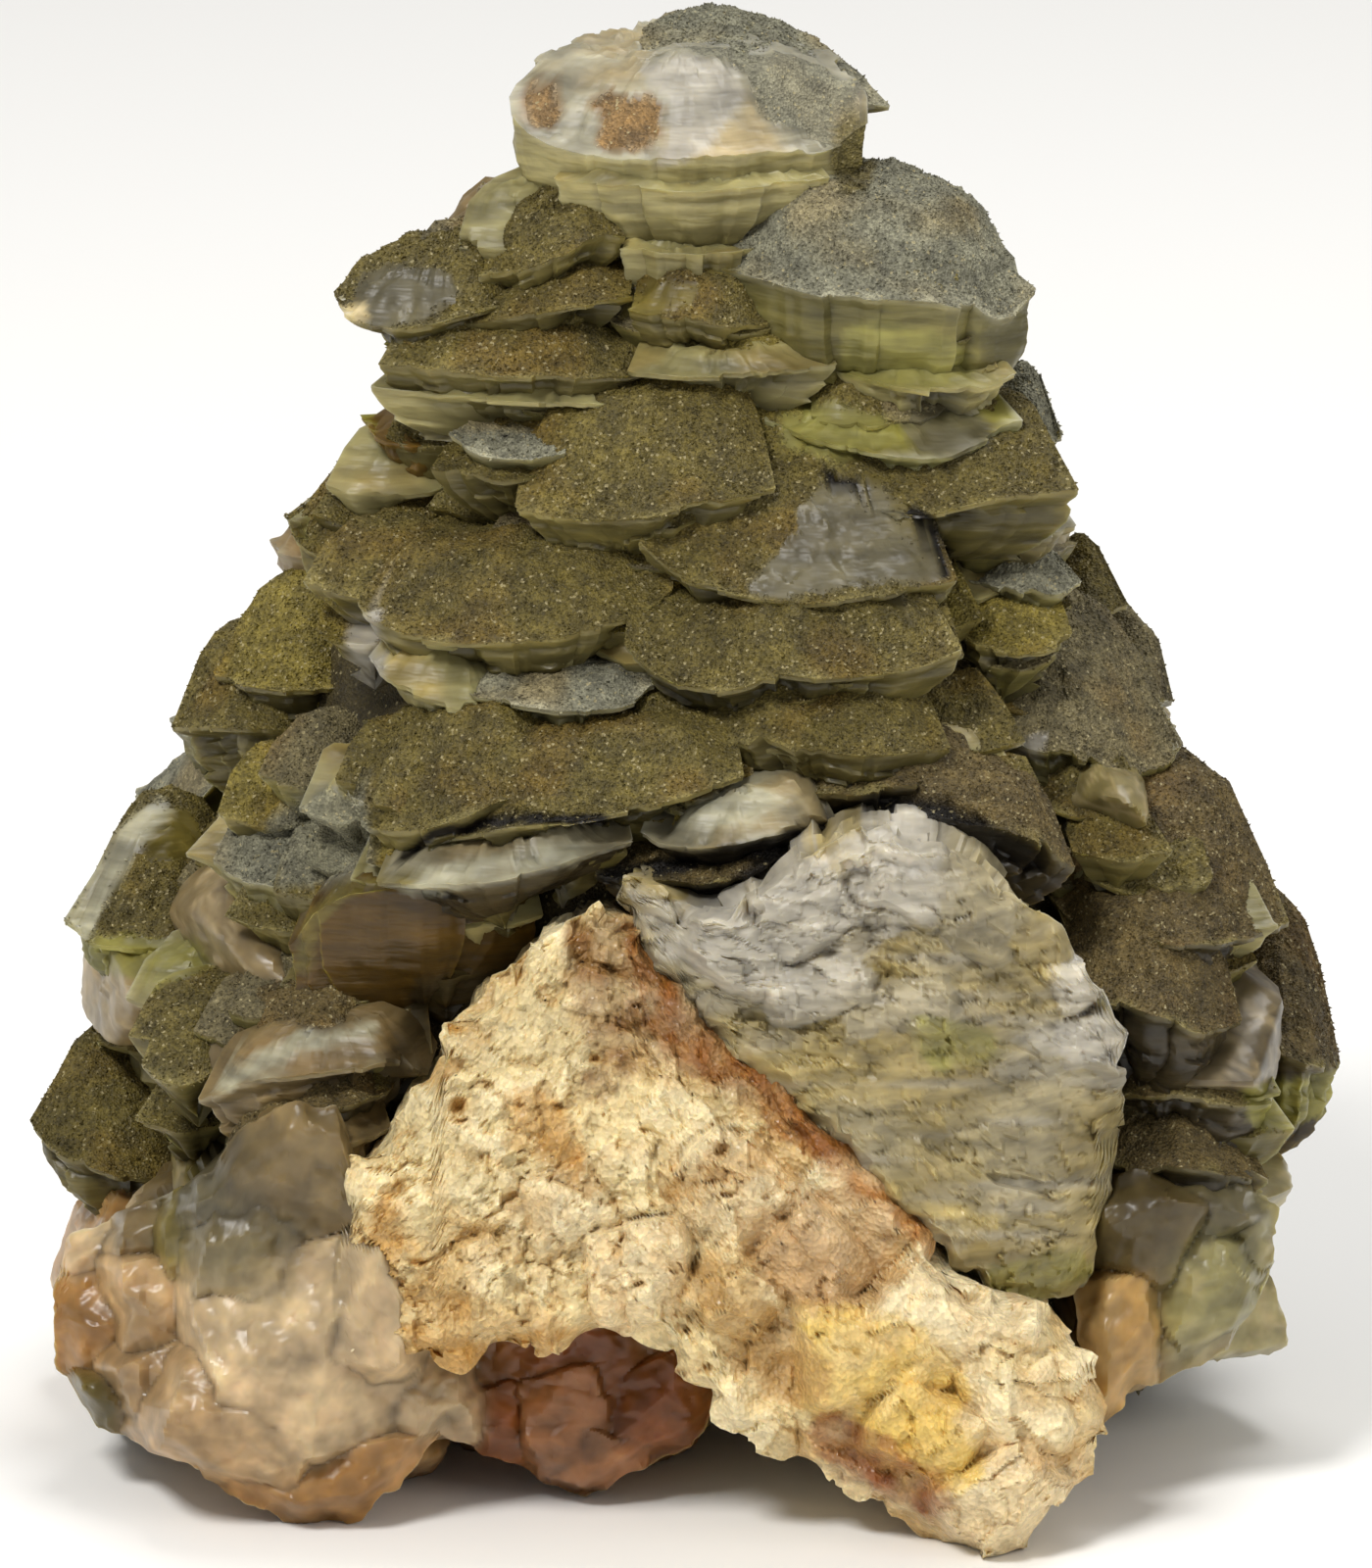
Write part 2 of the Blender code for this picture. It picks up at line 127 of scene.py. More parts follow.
SUMMIT_PLATES = (
    Plate("summit_back", "silver", 2, 3, 1.7, 6.0,
          ((-3, 107.8), (0, 107.3), (5, 106.8), (10.5, 105), (14.3, 104.5))),
    Plate("summit", "frosted", 9, 5, 6.0, 5.0,
          ((-12.5, 103.5), (-11, 101.8), (-7, 100.5), (-0.5, 100), (4, 100.6), (10.5, 100.6),
           (13, 103))),
    Plate("neck_upper", "pale", 10.6, 3, 0.6, 2.5,
          ((-9.5, 98.9), (-5, 98.2), (0, 97.8), (5, 98.2), (10.5, 98.9))),
    Plate("neck_lower", "pale", 11.4, 2.5, 0.6, 3.6, ((-5, 94), (-1.5, 93.4), (2, 93.4), (5.5, 94))),
)

UPPER_PLATES = (
    Plate("upper_left_top", "olive", 12, 4, 4.5, 2.0,
          ((-16.5, 95), (-16, 92), (-12.5, 92), (-9.5, 93), (-6.5, 94.5), (-4, 95))),
    Plate("upper_left", "olive", 13, 4, 4.5, 2.5,
          ((-25.5, 91), (-24.5, 89), (-22, 88), (-19.5, 88), (-16, 89), (-11, 90.5))),
    Plate("upper_left_shelf", "olive", 14, 3, 2.0, 1.5,
          ((-16, 88.5), (-11, 89), (-6.5, 90), (-3.5, 90.5))),
    Plate("upper_left_low", "olive", 16, 3, 3.0, 2.0,
          ((-22, 85.5), (-17.5, 85), (-14, 84.5), (-10, 84.5), (-5.5, 84.5), (-2.5, 85))),
    Plate("upper_middle", "olive", 15, 3, 3.0, 2.0, ((-4, 89.5), (-0.5, 88.5), (3, 88), (6.5, 88.5))),
    Plate("upper_middle_low", "pale", 17, 3, 2.0, 2.0, ((-4, 85), (0, 84.5), (5.5, 84.5), (10.5, 85.5))),
    Plate("upper_right_slab", "silver", 16, 6, 6.5, 6.0,
          ((2.5, 92.5), (7, 91), (11, 90), (17, 90), (20.5, 89.5), (23, 88.5), (25, 91))),
    Plate("upper_right_under", "pale", 17, 4, 1.5, 2.5, ((10.5, 85), (16, 83.5), (21, 83.5), (24, 85))),
    Plate("upper_right_green", "green", 18, 4, 2.5, 2.0,
          ((6, 81.5), (9, 80), (14, 79), (18, 78.5), (21.5, 80), (24, 81.5))),
    Plate("upper_right_end", "silver", 8, 3, 4.0, 2.0,
          ((22.5, 80.5), (25, 80), (27.3, 80.5), (27, 81.5))),
)

MIDDLE_PLATES = (
    Plate("amber_bump", "amber", 12, 3, 1.5, 3.0, ((-23.5, 82), (-22, 80), (-19, 79.5), (-16, 80.5))),
    Plate("thin_upper", "pale", 16, 3, 1.5, 1.5,
          ((-22.5, 84), (-15.5, 83), (-7, 82.5), (0, 83), (5, 83.5))),
    Plate("oval_plate", "silver", 19, 3, 1.5, 1.2,
          ((-17, 80.5), (-15.5, 79), (-12, 78.5), (-8.5, 79), (-6, 80))),
    Plate("thin_lower", "olive", 19, 3, 2.0, 1.5, ((-18, 78), (-14, 77), (-10, 77.5), (-7, 78.5))),
    Plate("centre_top", "olive", 23, 3, 8.0, 1.5,
          ((-12.5, 75), (-10, 74.5), (-5.5, 74), (-1.5, 74.5), (2.5, 75.5), (6.5, 76.5))),
    Plate("right_top", "olive", 20, 3, 6.0, 2.5,
          ((4, 76.5), (10.5, 75), (17, 74.5), (22.5, 76), (27.8, 76.5))),
    Plate("left_plate", "olive", 14, 3, 6.0, 3.5,
          ((-28.8, 75), (-28, 72.5), (-25, 71.5), (-20.5, 72), (-16.5, 72), (-13, 73.5))),
    Plate("middle_left", "olive", 26, 4, 6.0, 2.0,
          ((-23.5, 68.5), (-22.5, 67), (-18, 65.5), (-14.5, 65.5), (-10, 65.5), (-6.5, 66.5), (-3, 67.5),
           (-0.5, 69.5))),
    Plate("window_plate", "olive", 26, 4, 9.0, 1.5,
          ((-3, 72.5), (-0.5, 70), (3, 69), (6.5, 68), (11, 68.5), (16, 69), (19.5, 70))),
    Plate("right_chip", "bare", 17, 3, 3.0, 1.5, ((20, 73.5), (23, 73), (26.5, 73), (28, 74))),
    Plate("right_middle_upper", "silver", 17, 3, 2.5, 2.0, ((20.5, 70), (24, 69), (27, 69), (28.3, 70))),
    Plate("right_middle_lower", "gold", 20, 3, 3.0, 2.5, ((20, 66), (23, 64.5), (26.5, 65), (28, 66.5))),
    Plate("right_far_upper", "olive", 4, 3, 5.0, 2.0, ((27.5, 68.5), (30, 67.5), (31.9, 68.5))),
)

LOWER_LEFT_PLATES = (
    Plate("left_golden", "gold", 12, 5, 7.5, 3.0,
          ((-34, 63.5), (-32, 62.5), (-28, 62), (-24.5, 62.5), (-22, 63))),
    Plate("middle_side", "pale", 27, 4, 3.0, 2.0,
          ((-22.5, 64.5), (-21.5, 62.5), (-18, 61), (-14, 60.5), (-10, 61))),
    Plate("silver_strip", "silver", 29, 4, 2.0, 3.0,
          ((-15.5, 62), (-12.5, 61), (-8.5, 60.5), (-4, 61), (-2.5, 62.5))),
    Plate("left_low", "olive", 12, 5, 5.5, 4.0,
          ((-37.5, 59.5), (-34.5, 59.5), (-31, 59.5), (-26, 59), (-22.5, 59.5))),
    Plate("left_round", "olive", 34, 5, 6.5, 1.5,
          ((-24, 55), (-23, 52.5), (-20.5, 52), (-17.5, 52.5), (-13.5, 54), (-10.5, 55), (-9, 56))),
    Plate("left_low_front", "silver", 26, 4, 7.0, 3.0,
          ((-34, 50), (-32, 48.5), (-28.5, 48), (-25, 48.5), (-21.5, 50))),
    Plate("left_far", "rimmed", 15, 5, 10.0, 3.5,
          ((-45, 45.5), (-43.5, 44), (-40, 43.5), (-36.5, 43.5), (-32.5, 44.5))),
    Plate("middle_band", "olive", 35, 4, 5.0, 1.0,
          ((-21, 50), (-17.5, 51.5), (-12.5, 52.5), (-7, 53), (-1.5, 54), (4, 56))),
    Plate("white_strip", "sliver", 37, 4, 2.0, 1.0,
          ((-22, 48.5), (-19, 48.5), (-14, 48.5), (-10, 49.5), (-4, 51.5))),
    Plate("middle_clear", "sliver", 36, 4, 2.6, 1.2,
          ((-3, 52), (-1.5, 51), (3, 51), (7, 52), (10.5, 52.5))),
    Plate("middle_dark", "brown", 36, 3, 1.5, 1.5,
          ((-6.5, 49), (-2, 48.5), (2, 48), (6.5, 50), (10.5, 51))),
    Plate("resin_dome", "resin", 33, 4, 1.5, 6.5,
          ((-28, 44), (-26.5, 46.5), (-22.5, 48), (-17, 48), (-10, 48.5))),
    Plate("left_far_low", "olive", 16, 6, 9.5, 4.0,
          ((-48, 31), (-46, 28.5), (-42, 27), (-38, 26.5), (-34.5, 27.5))),
    Plate("left_stack_upper", "brown", 34, 4, 4.0, 2.5,
          ((-32.5, 35), (-30.5, 35.5), (-26, 36.5), (-21.5, 38))),
    Plate("left_stack_middle", "smoky", 36, 4, 2.5, 3.0,
          ((-34.5, 33), (-31, 34.5), (-25, 35), (-20.5, 36), (-18, 34.5))),
    Plate("left_stack_inner", "brown", 36.5, 3, 2.0, 2.0,
          ((-33, 29.5), (-29.5, 31), (-25, 32.5), (-21, 33.5))),
    Plate("left_stack_lower", "smoky", 38, 4, 2.5, 3.5,
          ((-32, 25), (-28.5, 27.5), (-25, 29.5), (-21, 31))),
)

LOWER_RIGHT_PLATES = (
    Plate("middle_right", "olive", 30, 4, 6.0, 2.0,
          ((-4.5, 65.5), (-3, 63.5), (0.5, 62), (3, 62), (6.5, 63), (12, 63), (16.5, 63.5), (19.5, 65))),
    Plate("middle_right_low", "olive", 32, 4, 4.0, 2.0,
          ((2, 58.5), (5, 58), (9, 57.5), (14, 57.5), (18.5, 58))),
    Plate("right_big", "grey", 20, 7, 9.0, 4.0,
          ((19, 61.5), (21, 59.5), (24.5, 58), (28.5, 57), (32, 56), (34.5, 56.5), (36, 58.5))),
    Plate("right_far_lower", "grey", 4, 4, 6.0, 3.0, ((30, 63), (34, 61.5), (36, 61.5))),
    Plate("rough_upper", "brown", 31.5, 4, 3.0, 1.5, ((6.5, 55.5), (11, 54.5), (16, 55.5), (21, 56))),
    Plate("rough_lower", "brown", 34, 4, 3.0, 1.5, ((12.5, 53.5), (18, 53), (24, 52), (27.5, 49.5))),
    Plate("right_low_upper", "brown", 27, 8, 10.0, 3.5,
          ((25, 48.5), (28, 45), (31.5, 44.5), (35.5, 44), (39, 44), (43.5, 45.5))),
    Plate("right_low_front", "brown", 32, 6, 7.0, 4.0,
          ((26.5, 42), (30, 39.5), (33.5, 39), (37, 37.5), (40, 38.5))),
    Plate("right_far", "brown", 18, 8, 10.0, 5.0, ((40, 38), (42.5, 36), (45.5, 35), (48, 34.5))),
    Plate("right_under_upper", "brown", 30, 5, 3.0, 3.0,
          ((30, 33.5), (34, 33), (38.5, 32.5), (42, 32.5))),
    Plate("right_under_lower", "brown", 31, 5, 3.0, 2.5,
          ((28.5, 31), (30, 28.5), (32, 27.5), (36.5, 28), (41.5, 27))),
)

LUMPS = (
    Lump("neck", "pale_side", 0, 95, 4, 12, 14, 16, 0),
    Lump("right_pillar", "olive_side", 22, 69, 10, 10, 16, 16, 10),
    Lump("right_hanging", "olive_side", 29.5, 52.5, 24, 5, 20, 6, 10),
    # A dark crystal, partly painted shade.
    Lump("right_dark", "brown_side_in_shade", 35, 34, 29, 14, 26, 11, 20),
    Lump("right_knob_upper", "pale_side", 36.5, 23.5, 22, 13, 28, 9, 15),
    Lump("right_knob_lower", "pale_side", 35, 15.5, 20, 12, 26, 10, 30),
    Lump("right_nook", "honey", 31, 16, 26, 10, 30, 12, 0),
    Lump("left_shoulder", "smoky", -30.5, 41.5, 25, 11, 22, 9, 10),
    Lump("left_shoulder_far", "smoky", -39, 38.5, 18, 9, 18, 8, 20),
    Lump("left_inner", "smoky", -31, 33.5, 28, 12, 26, 14, 0),
    Lump("left_brown_knob", "gold", -34.5, 24, 27, 6, 26, 9, 0),
    Lump("left_peach_upper", "peach_deep", -40.5, 22, 17, 7, 16, 7, 0),
    Lump("left_peach_side", "peach_deep", -38.5, 15, 21, 13, 26, 14, 15),
    Lump("left_green_foot", "olive", -40.5, 10.5, 22, 5, 18, 6, 0),
    Lump("left_peach_big", "peach", -29, 14.5, 35, 15, 36, 20, 8),
    Lump("left_peach_foot", "peach_deep", -25.5, 5.5, 34, 18, 32, 8, 0),
    Lump("left_peach_inner", "peach", -19.5, 11, 33, 9, 34, 7, 0),
    Lump("cavity_wall", "red_brown", -7, 10, 28, 20, 34, 16, 0),
)

TRUNK = (
    Section(0, 36, 8, -30),
    Section(12, 37.5, 20, -32),
    Section(30, 37, 31, -31),
    Section(50, 31, 28, -26),
    Section(66, 24, 18, -21),
    Section(80, 17, 8, -14),
    Section(90, 8, 4, -8),
)

SIDE_ROWS = (
    Row(3.2, 41, 35.5, 8, 2.4),
    Row(8, 42.5, 37, 8, 4.0),
    Row(14, 43.5, 38, 9, 4.0),
    Row(21, 43.5, 38, 9, 4.0),
    Row(28, 44, 38, 9, 4.0),
    Row(35, 43.5, 36, 9, 4.0),
    Row(42, 41, 33, 9, 4.0),
    Row(49, 37, 31, 8, 3.5),
    Row(56, 34, 28, 8, 3.5),
    Row(63, 30, 25, 7, 3.0),
    Row(70, 27.5, 22, 6, 3.0),
    Row(77, 23.5, 18, 6, 3.0),
    Row(84, 21, 15, 5, 2.5),
)
# Where the rows begin, as an angle from the front.
SIDE_START = math.radians(66)

PLATE_GROUPS = {
    "plates_summit": SUMMIT_PLATES,
    "plates_upper": UPPER_PLATES,
    "plates_middle": MIDDLE_PLATES,
    "plates_lower_left": LOWER_LEFT_PLATES,
    "plates_lower_right": LOWER_RIGHT_PLATES,
}
ALL_PLATES = tuple(plate for plates in PLATE_GROUPS.values() for plate in plates)

# How far the side of a plate curves in below it, and the plates where it curves in further.
USUAL_COVE = 2.6
COVES = {"summit": 6.5, "neck_upper": 7.5, "neck_lower": 3.6, "upper_right_slab": 3.5, "right_big": 3.6}
# Plates that stand free, so that their backs show.
FREE_PLATES = ("summit_back", "summit", "upper_right_slab", "upper_left")
# How much further back the filling plates stand in the neck.
NECK_DEPTH = 3.5
# Plates whose sides are smooth, and how strongly a smooth side still shows its layers.
SMOOTH_LAYERS = 0.15
SMOOTH_SIDES = ("summit", "neck_upper", "neck_lower", "upper_right_slab", "resin_dome")

# The filling plates: how many rows, where the lowest grows, the step between rows, and their spacing.
FILLING_ROWS = 27
FILLING_START = 28.0
FILLING_RISE = 2.7
FILLING_SPACING = 6.5
# The plates at the corners, in the same way, and where they stand as angles from the front.
CORNER_ROWS = 17
CORNER_START = 26.0
CORNER_RISE = 4.2
CORNER_ANGLES = (34.0, 48.0, 61.0)
# Where the front ends: its left and right limits at some heights.
FRONT_HEIGHTS = (28, 35, 45, 55, 65, 75, 85, 90, 95, 98)
FRONT_LEFT = (-40, -41, -38, -32, -29, -24, -19, -19, -12, -6)
FRONT_RIGHT = (40, 42, 39, 31, 27, 23, 20, 20, 12, 7)
# What the filling and the corner plates leave open: the broken front and the crystals at the left foot.
OPEN_FRONTS = (
    ((-27, 0), (-27, 30), (-19, 38), (-9, 49), (-6, 50), (4, 49), (14, 54.5), (26, 49), (34, 38),
     (33, 0)),
    ((-50, 0), (-50, 26), (-36, 25), (-34, 32), (-24, 30), (-24, 0)),
)

# -------------------------------- painted zones and cracks

# A zone of another colour by its outline as seen from in front. Its coat is 1 where druse covers it.
Zone = namedtuple("Zone", "name colour coated outline")

PLATE_ZONES = (
    Zone("summit_rust_left", "rust", 1, (
        (-11.9, 105.5), (-10.6, 106.5), (-9, 105.8), (-8.8, 103.7), (-9.8, 102.3), (-11.6, 102.7))),
    Zone("summit_rust", "rust", 1, (
        (-7, 104.4), (-5.3, 105.3), (-4.2, 104.8), (-2.5, 105.1), (-1.4, 104.1), (-2, 103),
        (-1.4, 102), (-3.2, 100.9), (-5.6, 100.4), (-6.7, 101.6), (-6.2, 103))),
    Zone("summit_white", "white", 0, (
        (-3.2, 107.1), (0, 107.9), (3.5, 107.1), (4.3, 104.8), (3.2, 103), (1.4, 100.9), (-0.7, 99.9),
        (-2.5, 99.5), (-1.3, 101.6), (-0.8, 104.1), (-2.5, 105.5))),
    Zone("summit_grey", "silver", 1, (
        (0, 110.2), (5.6, 110.7), (10.5, 108.6), (13, 105.8), (11.2, 103.7), (10.5, 100.9),
        (9.1, 101.6), (7, 102.7), (4.9, 103.7), (4.2, 106.5), (1.4, 107.9), (-0.7, 108.6))),
    Zone("summit_right_face", "olive", 1, (
        (11.2, 103.7), (14.4, 105.1), (14.4, 102.3), (13, 97.8), (11.2, 97.6), (10.4, 100.2))),
    Zone("slab_glow", "glow_green", 0, (
        (11.2, 88), (14, 88.7), (18.2, 87.6), (21, 86.2), (20.3, 83.8), (14, 83.6), (11.2, 84.5))),
    Zone("low_glow", "glow_green", 0, (
        (7, 82), (10.5, 82.6), (14.4, 81.7), (14, 79.6), (11.2, 78.5), (7, 79.4))),
    Zone("grey_lens", "grey_violet", 0, (
        (15.3, 81.3), (18.2, 82.7), (21.4, 81.9), (22.1, 80.3), (20, 78.8), (16.5, 79))),
    Zone("window", "grey_violet", 0, (
        (4.1, 69.2), (8.1, 73.6), (8.1, 75), (10.5, 77.4), (14.4, 76.1), (17.5, 74.3), (19, 72.2),
        (18.6, 70), (11.2, 69.4), (7, 68.5))),
    Zone("golden_neck", "gold", 0, (
        (-5, 90.3), (-2.1, 91.5), (1, 91.1), (0.4, 89.6), (-2.8, 88.8), (-4.6, 89.2))),
    Zone("yellow_spot", "gold", 0, (
        (1.4, 93.1), (3.2, 93.5), (3.5, 92.4), (1.8, 92))),
    Zone("golden_left", "gold", 1, (
        (-31.9, 68), (-28.7, 69.4), (-25.2, 68.7), (-24.4, 65.9), (-24.9, 63), (-28, 62.4),
        (-31.5, 63.1))),
    Zone("white_edge", "white", 0, (
        (-24.2, 66.6), (-22.1, 67.9), (-21.4, 63.1), (-23, 61.9), (-24.2, 63.1))),
    Zone("chip_right", "white", 0, (
        (23.5, 57.8), (24.9, 59.1), (25.9, 58.8), (25.1, 57.6))),
    Zone("left_sugar", "silver", 1, (
        (-30.2, 52.6), (-25.9, 55.6), (-22.8, 54), (-22.1, 50.5), (-23.1, 48.8), (-28, 47.9),
        (-31.5, 48.8))),
    Zone("left_yellow", "gold", 0, (
        (-39.2, 53.5), (-36.1, 53.6), (-35.1, 51.2), (-37.1, 49.6), (-39.3, 50.4))),
    Zone("left_rim", "silver_lip", 0, (
        (-45.4, 45.6), (-42, 51.4), (-38.6, 54.6), (-37.4, 53.5), (-40.5, 49.8), (-42.6, 45.6),
        (-43.5, 43.9))),
    Zone("left_green_lip", "yellow_green", 0, (
        (-43.5, 44.4), (-35, 44.2), (-33.9, 42.4), (-37.8, 40.9), (-42.1, 41.6))),
    Zone("left_violet", "grey_violet", 0, (
        (-23.9, 91.7), (-21, 93), (-17.2, 92.3), (-16.4, 90.4), (-18.9, 88.6), (-22.4, 87.9),
        (-24.1, 89.6))),
    Zone("left_chip", "cream", 0, (
        (-25.7, 89.6), (-23, 90), (-22.6, 88.7), (-24.9, 88.3))),
    Zone("stack_silver", "silver_lip", 0, (
        (-33.6, 34.4), (-28, 37.6), (-22.1, 38.3), (-22, 37.5), (-27, 36.5), (-32.8, 33.6))),
    Zone("right_green", "yellow_green", 0, (
        (39.8, 33.7), (47.7, 34.6), (48.3, 32.2), (44.1, 30.4), (40.5, 30.8))),
    # A pale strip along the plate: a painted highlight.
    Zone("strip_white", "silver_lip", 0, (
        (-20.7, 48.1), (-18.9, 49.5), (-12.6, 50.7), (-7, 51.1), (-7.7, 49.8), (-14, 48.8),
        (-16.1, 48.1), (-19.6, 47.4))),
    # A pale patch in the middle of the clear plate: a painted highlight.
    Zone("clear_white", "silver_lip", 0, (
        (-0.7, 52.8), (1.4, 54.4), (4.9, 55.4), (7, 54.4), (5.6, 53), (2.1, 52.3))),
    Zone("resin_rim", "gold", 0, (
        (-28.1, 42), (-27.2, 45.6), (-24.9, 48.2), (-19.6, 49.3), (-19.2, 48.6), (-24.2, 47.3),
        (-26.1, 45.3), (-27, 42))),
    # A dark patch in the corner by the quartz: painted shade.
    Zone("dark_corner", "brown_side_in_shade", 0, (
        (-19.3, 41.4), (-10.5, 42.5), (-9.8, 40.7), (-16.1, 37.2), (-18.2, 32.3), (-21.4, 31.6),
        (-21, 37.2))),
)

QUARTZ_ZONES = (
    Zone("top_brown", "quartz_brown", 1, (
        (-8.8, 45.3), (-4.2, 46.7), (-2.8, 44.9), (0, 40.7), (-0.7, 37.2), (-4.2, 34.4), (-7, 37.2),
        (-8.4, 41.4))),
    Zone("edge_orange", "orange_deep", 1, (
        (4, 37), (12, 31), (17, 27), (22, 23.5), (26, 21), (23.5, 18.8), (18, 22), (12, 26), (6, 31.5))),
    Zone("edge_brown", "orange_brown", 1, (
        (-4.2, 46.3), (-2.5, 44.2), (1.4, 39.3), (6.3, 35.8), (11.2, 31.6), (12.6, 29.2), (10.5, 28.1),
        (5.6, 32.3), (0, 35.1), (-2.8, 38.6), (-4.2, 42.8))),
    Zone("pit_brown", "quartz_brown", 1, (
        (-7.7, 35.1), (-5.3, 35.5), (-4.2, 33.4), (-6, 32.7), (-7.7, 33.4))),
    Zone("left_pit", "orange", 1, (
        (-12.6, 33.4), (-9.8, 34.1), (-7.7, 30.9), (-7, 28.1), (-9.8, 28.8), (-12.3, 30.2))),
    Zone("left_orange", "orange", 1, (
        (-23, 24.6), (-21, 27.4), (-19.6, 23.2), (-21, 18.3), (-23.1, 20.4))),
    Zone("low_orange", "orange", 1, (
        (-24.2, 15.2), (-19.6, 16.9), (-14, 15.5), (-9.8, 17.3), (-7, 16.9), (-12.6, 13.4),
        (-18.2, 12.7), (-23.5, 12.6))),
    Zone("foot_yellow", "quartz_yellow", 1, (
        (8.1, 17.6), (14, 18), (18.2, 16.2), (20.3, 12), (18.2, 9.2), (14, 8.5), (10.5, 10.6),
        (8.4, 13.4))),
    Zone("foot_yellow_low", "quartz_yellow", 1, (
        (14, 10.6), (18.2, 10.6), (21.7, 7.8), (19.6, 5), (16.1, 6.4), (13.3, 8.5))),
    Zone("foot_edge", "red_brown", 1, (
        (10.5, 11.2), (14, 8.9), (17.5, 6.4), (19.3, 4), (18.2, 2.2), (14, 4.3), (9.1, 7.8),
        (8.4, 9.9))),
    Zone("foot_grey", "peach_grey", 1, (
        (4.2, 24.6), (11.2, 27.4), (15.4, 23.2), (14, 19), (9.1, 18.3), (5.6, 20.4))),
    Zone("ledge_grey", "honey", 1, (
        (0, 21.1), (2.8, 21.8), (7, 18.3), (10.5, 13.4), (9.8, 10.6), (5.6, 12.7), (1.4, 16.9))),
    Zone("foot_tip", "quartz_pale", 1, (
        (17.9, 3.6), (23.8, 6.4), (28.7, 7.8), (28, 5.7), (23.8, 1.2), (20.3, 0), (18.2, 1.5))),
)

CLEAVED_ZONES = (
    Zone("white_top", "white", 1, (
        (-4.2, 48.1), (0, 46.7), (3.2, 46.3), (7, 49.1), (10.5, 51.1), (14, 52.5), (17.9, 51.2),
        (20, 49.1), (18.2, 46.3), (14, 44.2), (11.2, 41.4), (7, 40.4), (2.8, 41.1), (-0.7, 42.5),
        (-2.8, 44.6))),
    Zone("white_right", "cleavage_grey", 1, (
        (18.2, 50.9), (21.7, 49.8), (24.2, 47), (24.5, 45.3), (21, 44.6), (17.5, 45.3))),
    Zone("chip_upper", "white", 1, (
        (25.8, 42.5), (28, 43.5), (29.3, 41.4), (27.4, 40), (25.9, 40.6))),
    Zone("chip_lower", "white", 1, (
        (23.1, 37.6), (28, 39.3), (31.9, 38.1), (30.9, 35.3), (25.9, 36), (23.4, 36.7))),
    Zone("green_streak", "glow_green", 1, (
        (16.1, 39), (21.7, 38.3), (22.4, 36.2), (18.2, 35.1), (16.1, 36.5))),
    Zone("green_foot", "yellow_green", 1, (
        (21, 21.1), (28, 22.5), (30.1, 20.4), (25.2, 18.3), (21.7, 18.3))),
)

# The wide open gap above the cleaved crystal.
OPEN_GAP = (
    (-1, 47.2), (3.2, 47.2), (7, 50.1), (10.5, 52.1), (14, 53.8), (18.2, 53), (21, 51.7),
    (24.5, 50),
)

# Thin open cracks along the edges of plates.
WINDOW_CRACK = ((10.2, 77.3), (13.7, 75.7), (17.3, 74.2), (18.7, 71.5), (18.6, 70.3))
UNDER_CRACK = ((-6, 48.9), (0, 49.7), (5, 50.8), (10, 52.4))
STRIP_CRACK = ((-20.2, 50.1), (-17.9, 51.9), (-11.8, 53), (-5.9, 53))
# Each crack with the width of its dark part, which is painted shade.
CRACKS = ((OPEN_GAP, 1.6), (UNDER_CRACK, 0.8), (WINDOW_CRACK, 0.5), (STRIP_CRACK, 0.5))
# The way that the bottom of a crack is pushed in, and by how much at most.
CRACK_PUSH = np.array((0.0, 1.0, -0.3))
DEEPEST_CRACK = 1.0

# The outlines of the broken front, from left to right.
QUARTZ_LOWER = (
    (-25, 17), (-24.5, 13.5), (-21, 14.5), (-17.5, 14), (-13, 15.2), (-10, 15), (-7, 16),
    (-4, 16.8), (-1.5, 15.5), (0, 14), (3, 9.5), (6, 8), (11, 5.5), (15, 3), (19.2, 0.4),
    (21.5, 0.2), (24, 1.3), (27, 4.5), (29.5, 7.5), (30, 9),
)
QUARTZ_UPPER = (
    (-25, 23), (-24, 28), (-21, 31), (-18, 34), (-17, 38), (-13, 42), (-10, 44.5), (-7, 47),
    (-4, 46), (0, 41), (6, 36), (11, 31), (16, 25), (20, 20), (22, 18.5), (26, 18), (28.5, 14),
    (30, 11),
)
CLEAVED_LOWER = (
    (-5, 47), (-3, 44), (0, 39.5), (5.5, 35), (11, 29.5), (17, 23), (22, 18.5), (26.5, 18.2),
    (29, 21), (31, 30),
)
CLEAVED_UPPER = (
    (-5, 48.4), (-2, 48), (0, 46.5), (3, 46.2), (6, 48.5), (10.5, 51.2), (14, 52.8), (18, 51.2),
    (24.5, 47), (29, 42.5), (31, 37),
)
BASE_LOWER = (
    (-45.4, 13.4), (-44.1, 10.6), (-42.3, 9.1), (-37.4, 7.4), (-32.5, 4.3), (-27.6, 2),
    (-23.3, 2.8), (-19.6, 6.2), (-17.2, 9), (-14.7, 7.4), (-9.8, 5), (-7.1, 3.9), (-3.7, 5.6),
    (0, 7.4), (2.5, 10.5),
)
BASE_UPPER = (
    (-45.4, 19), (-44.4, 23), (-41, 24.6), (-36.8, 26.4), (-33.8, 28), (-31.5, 31), (-28, 33),
    (-24.5, 32.5), (-22.4, 26), (-19, 18), (-14, 18), (-8, 19), (-2, 18.5), (2.5, 14),
)
RIGHT_BASE_LOWER = (
    (28, 9), (29.9, 9.5), (32.3, 12.2), (34.3, 12.6), (39.2, 14.6), (40.2, 17.2), (42.5, 20.8),
)
RIGHT_BASE_UPPER = (
    (28, 26.5), (31.5, 27.5), (35, 27.8), (38.5, 27.2), (41.5, 26), (42.5, 25),
)

# A blocky crystal seen from in front: its middle, its size, how far out it stands and how it is turned.
Block = namedtuple("Block", "colour across up wide high out turn")

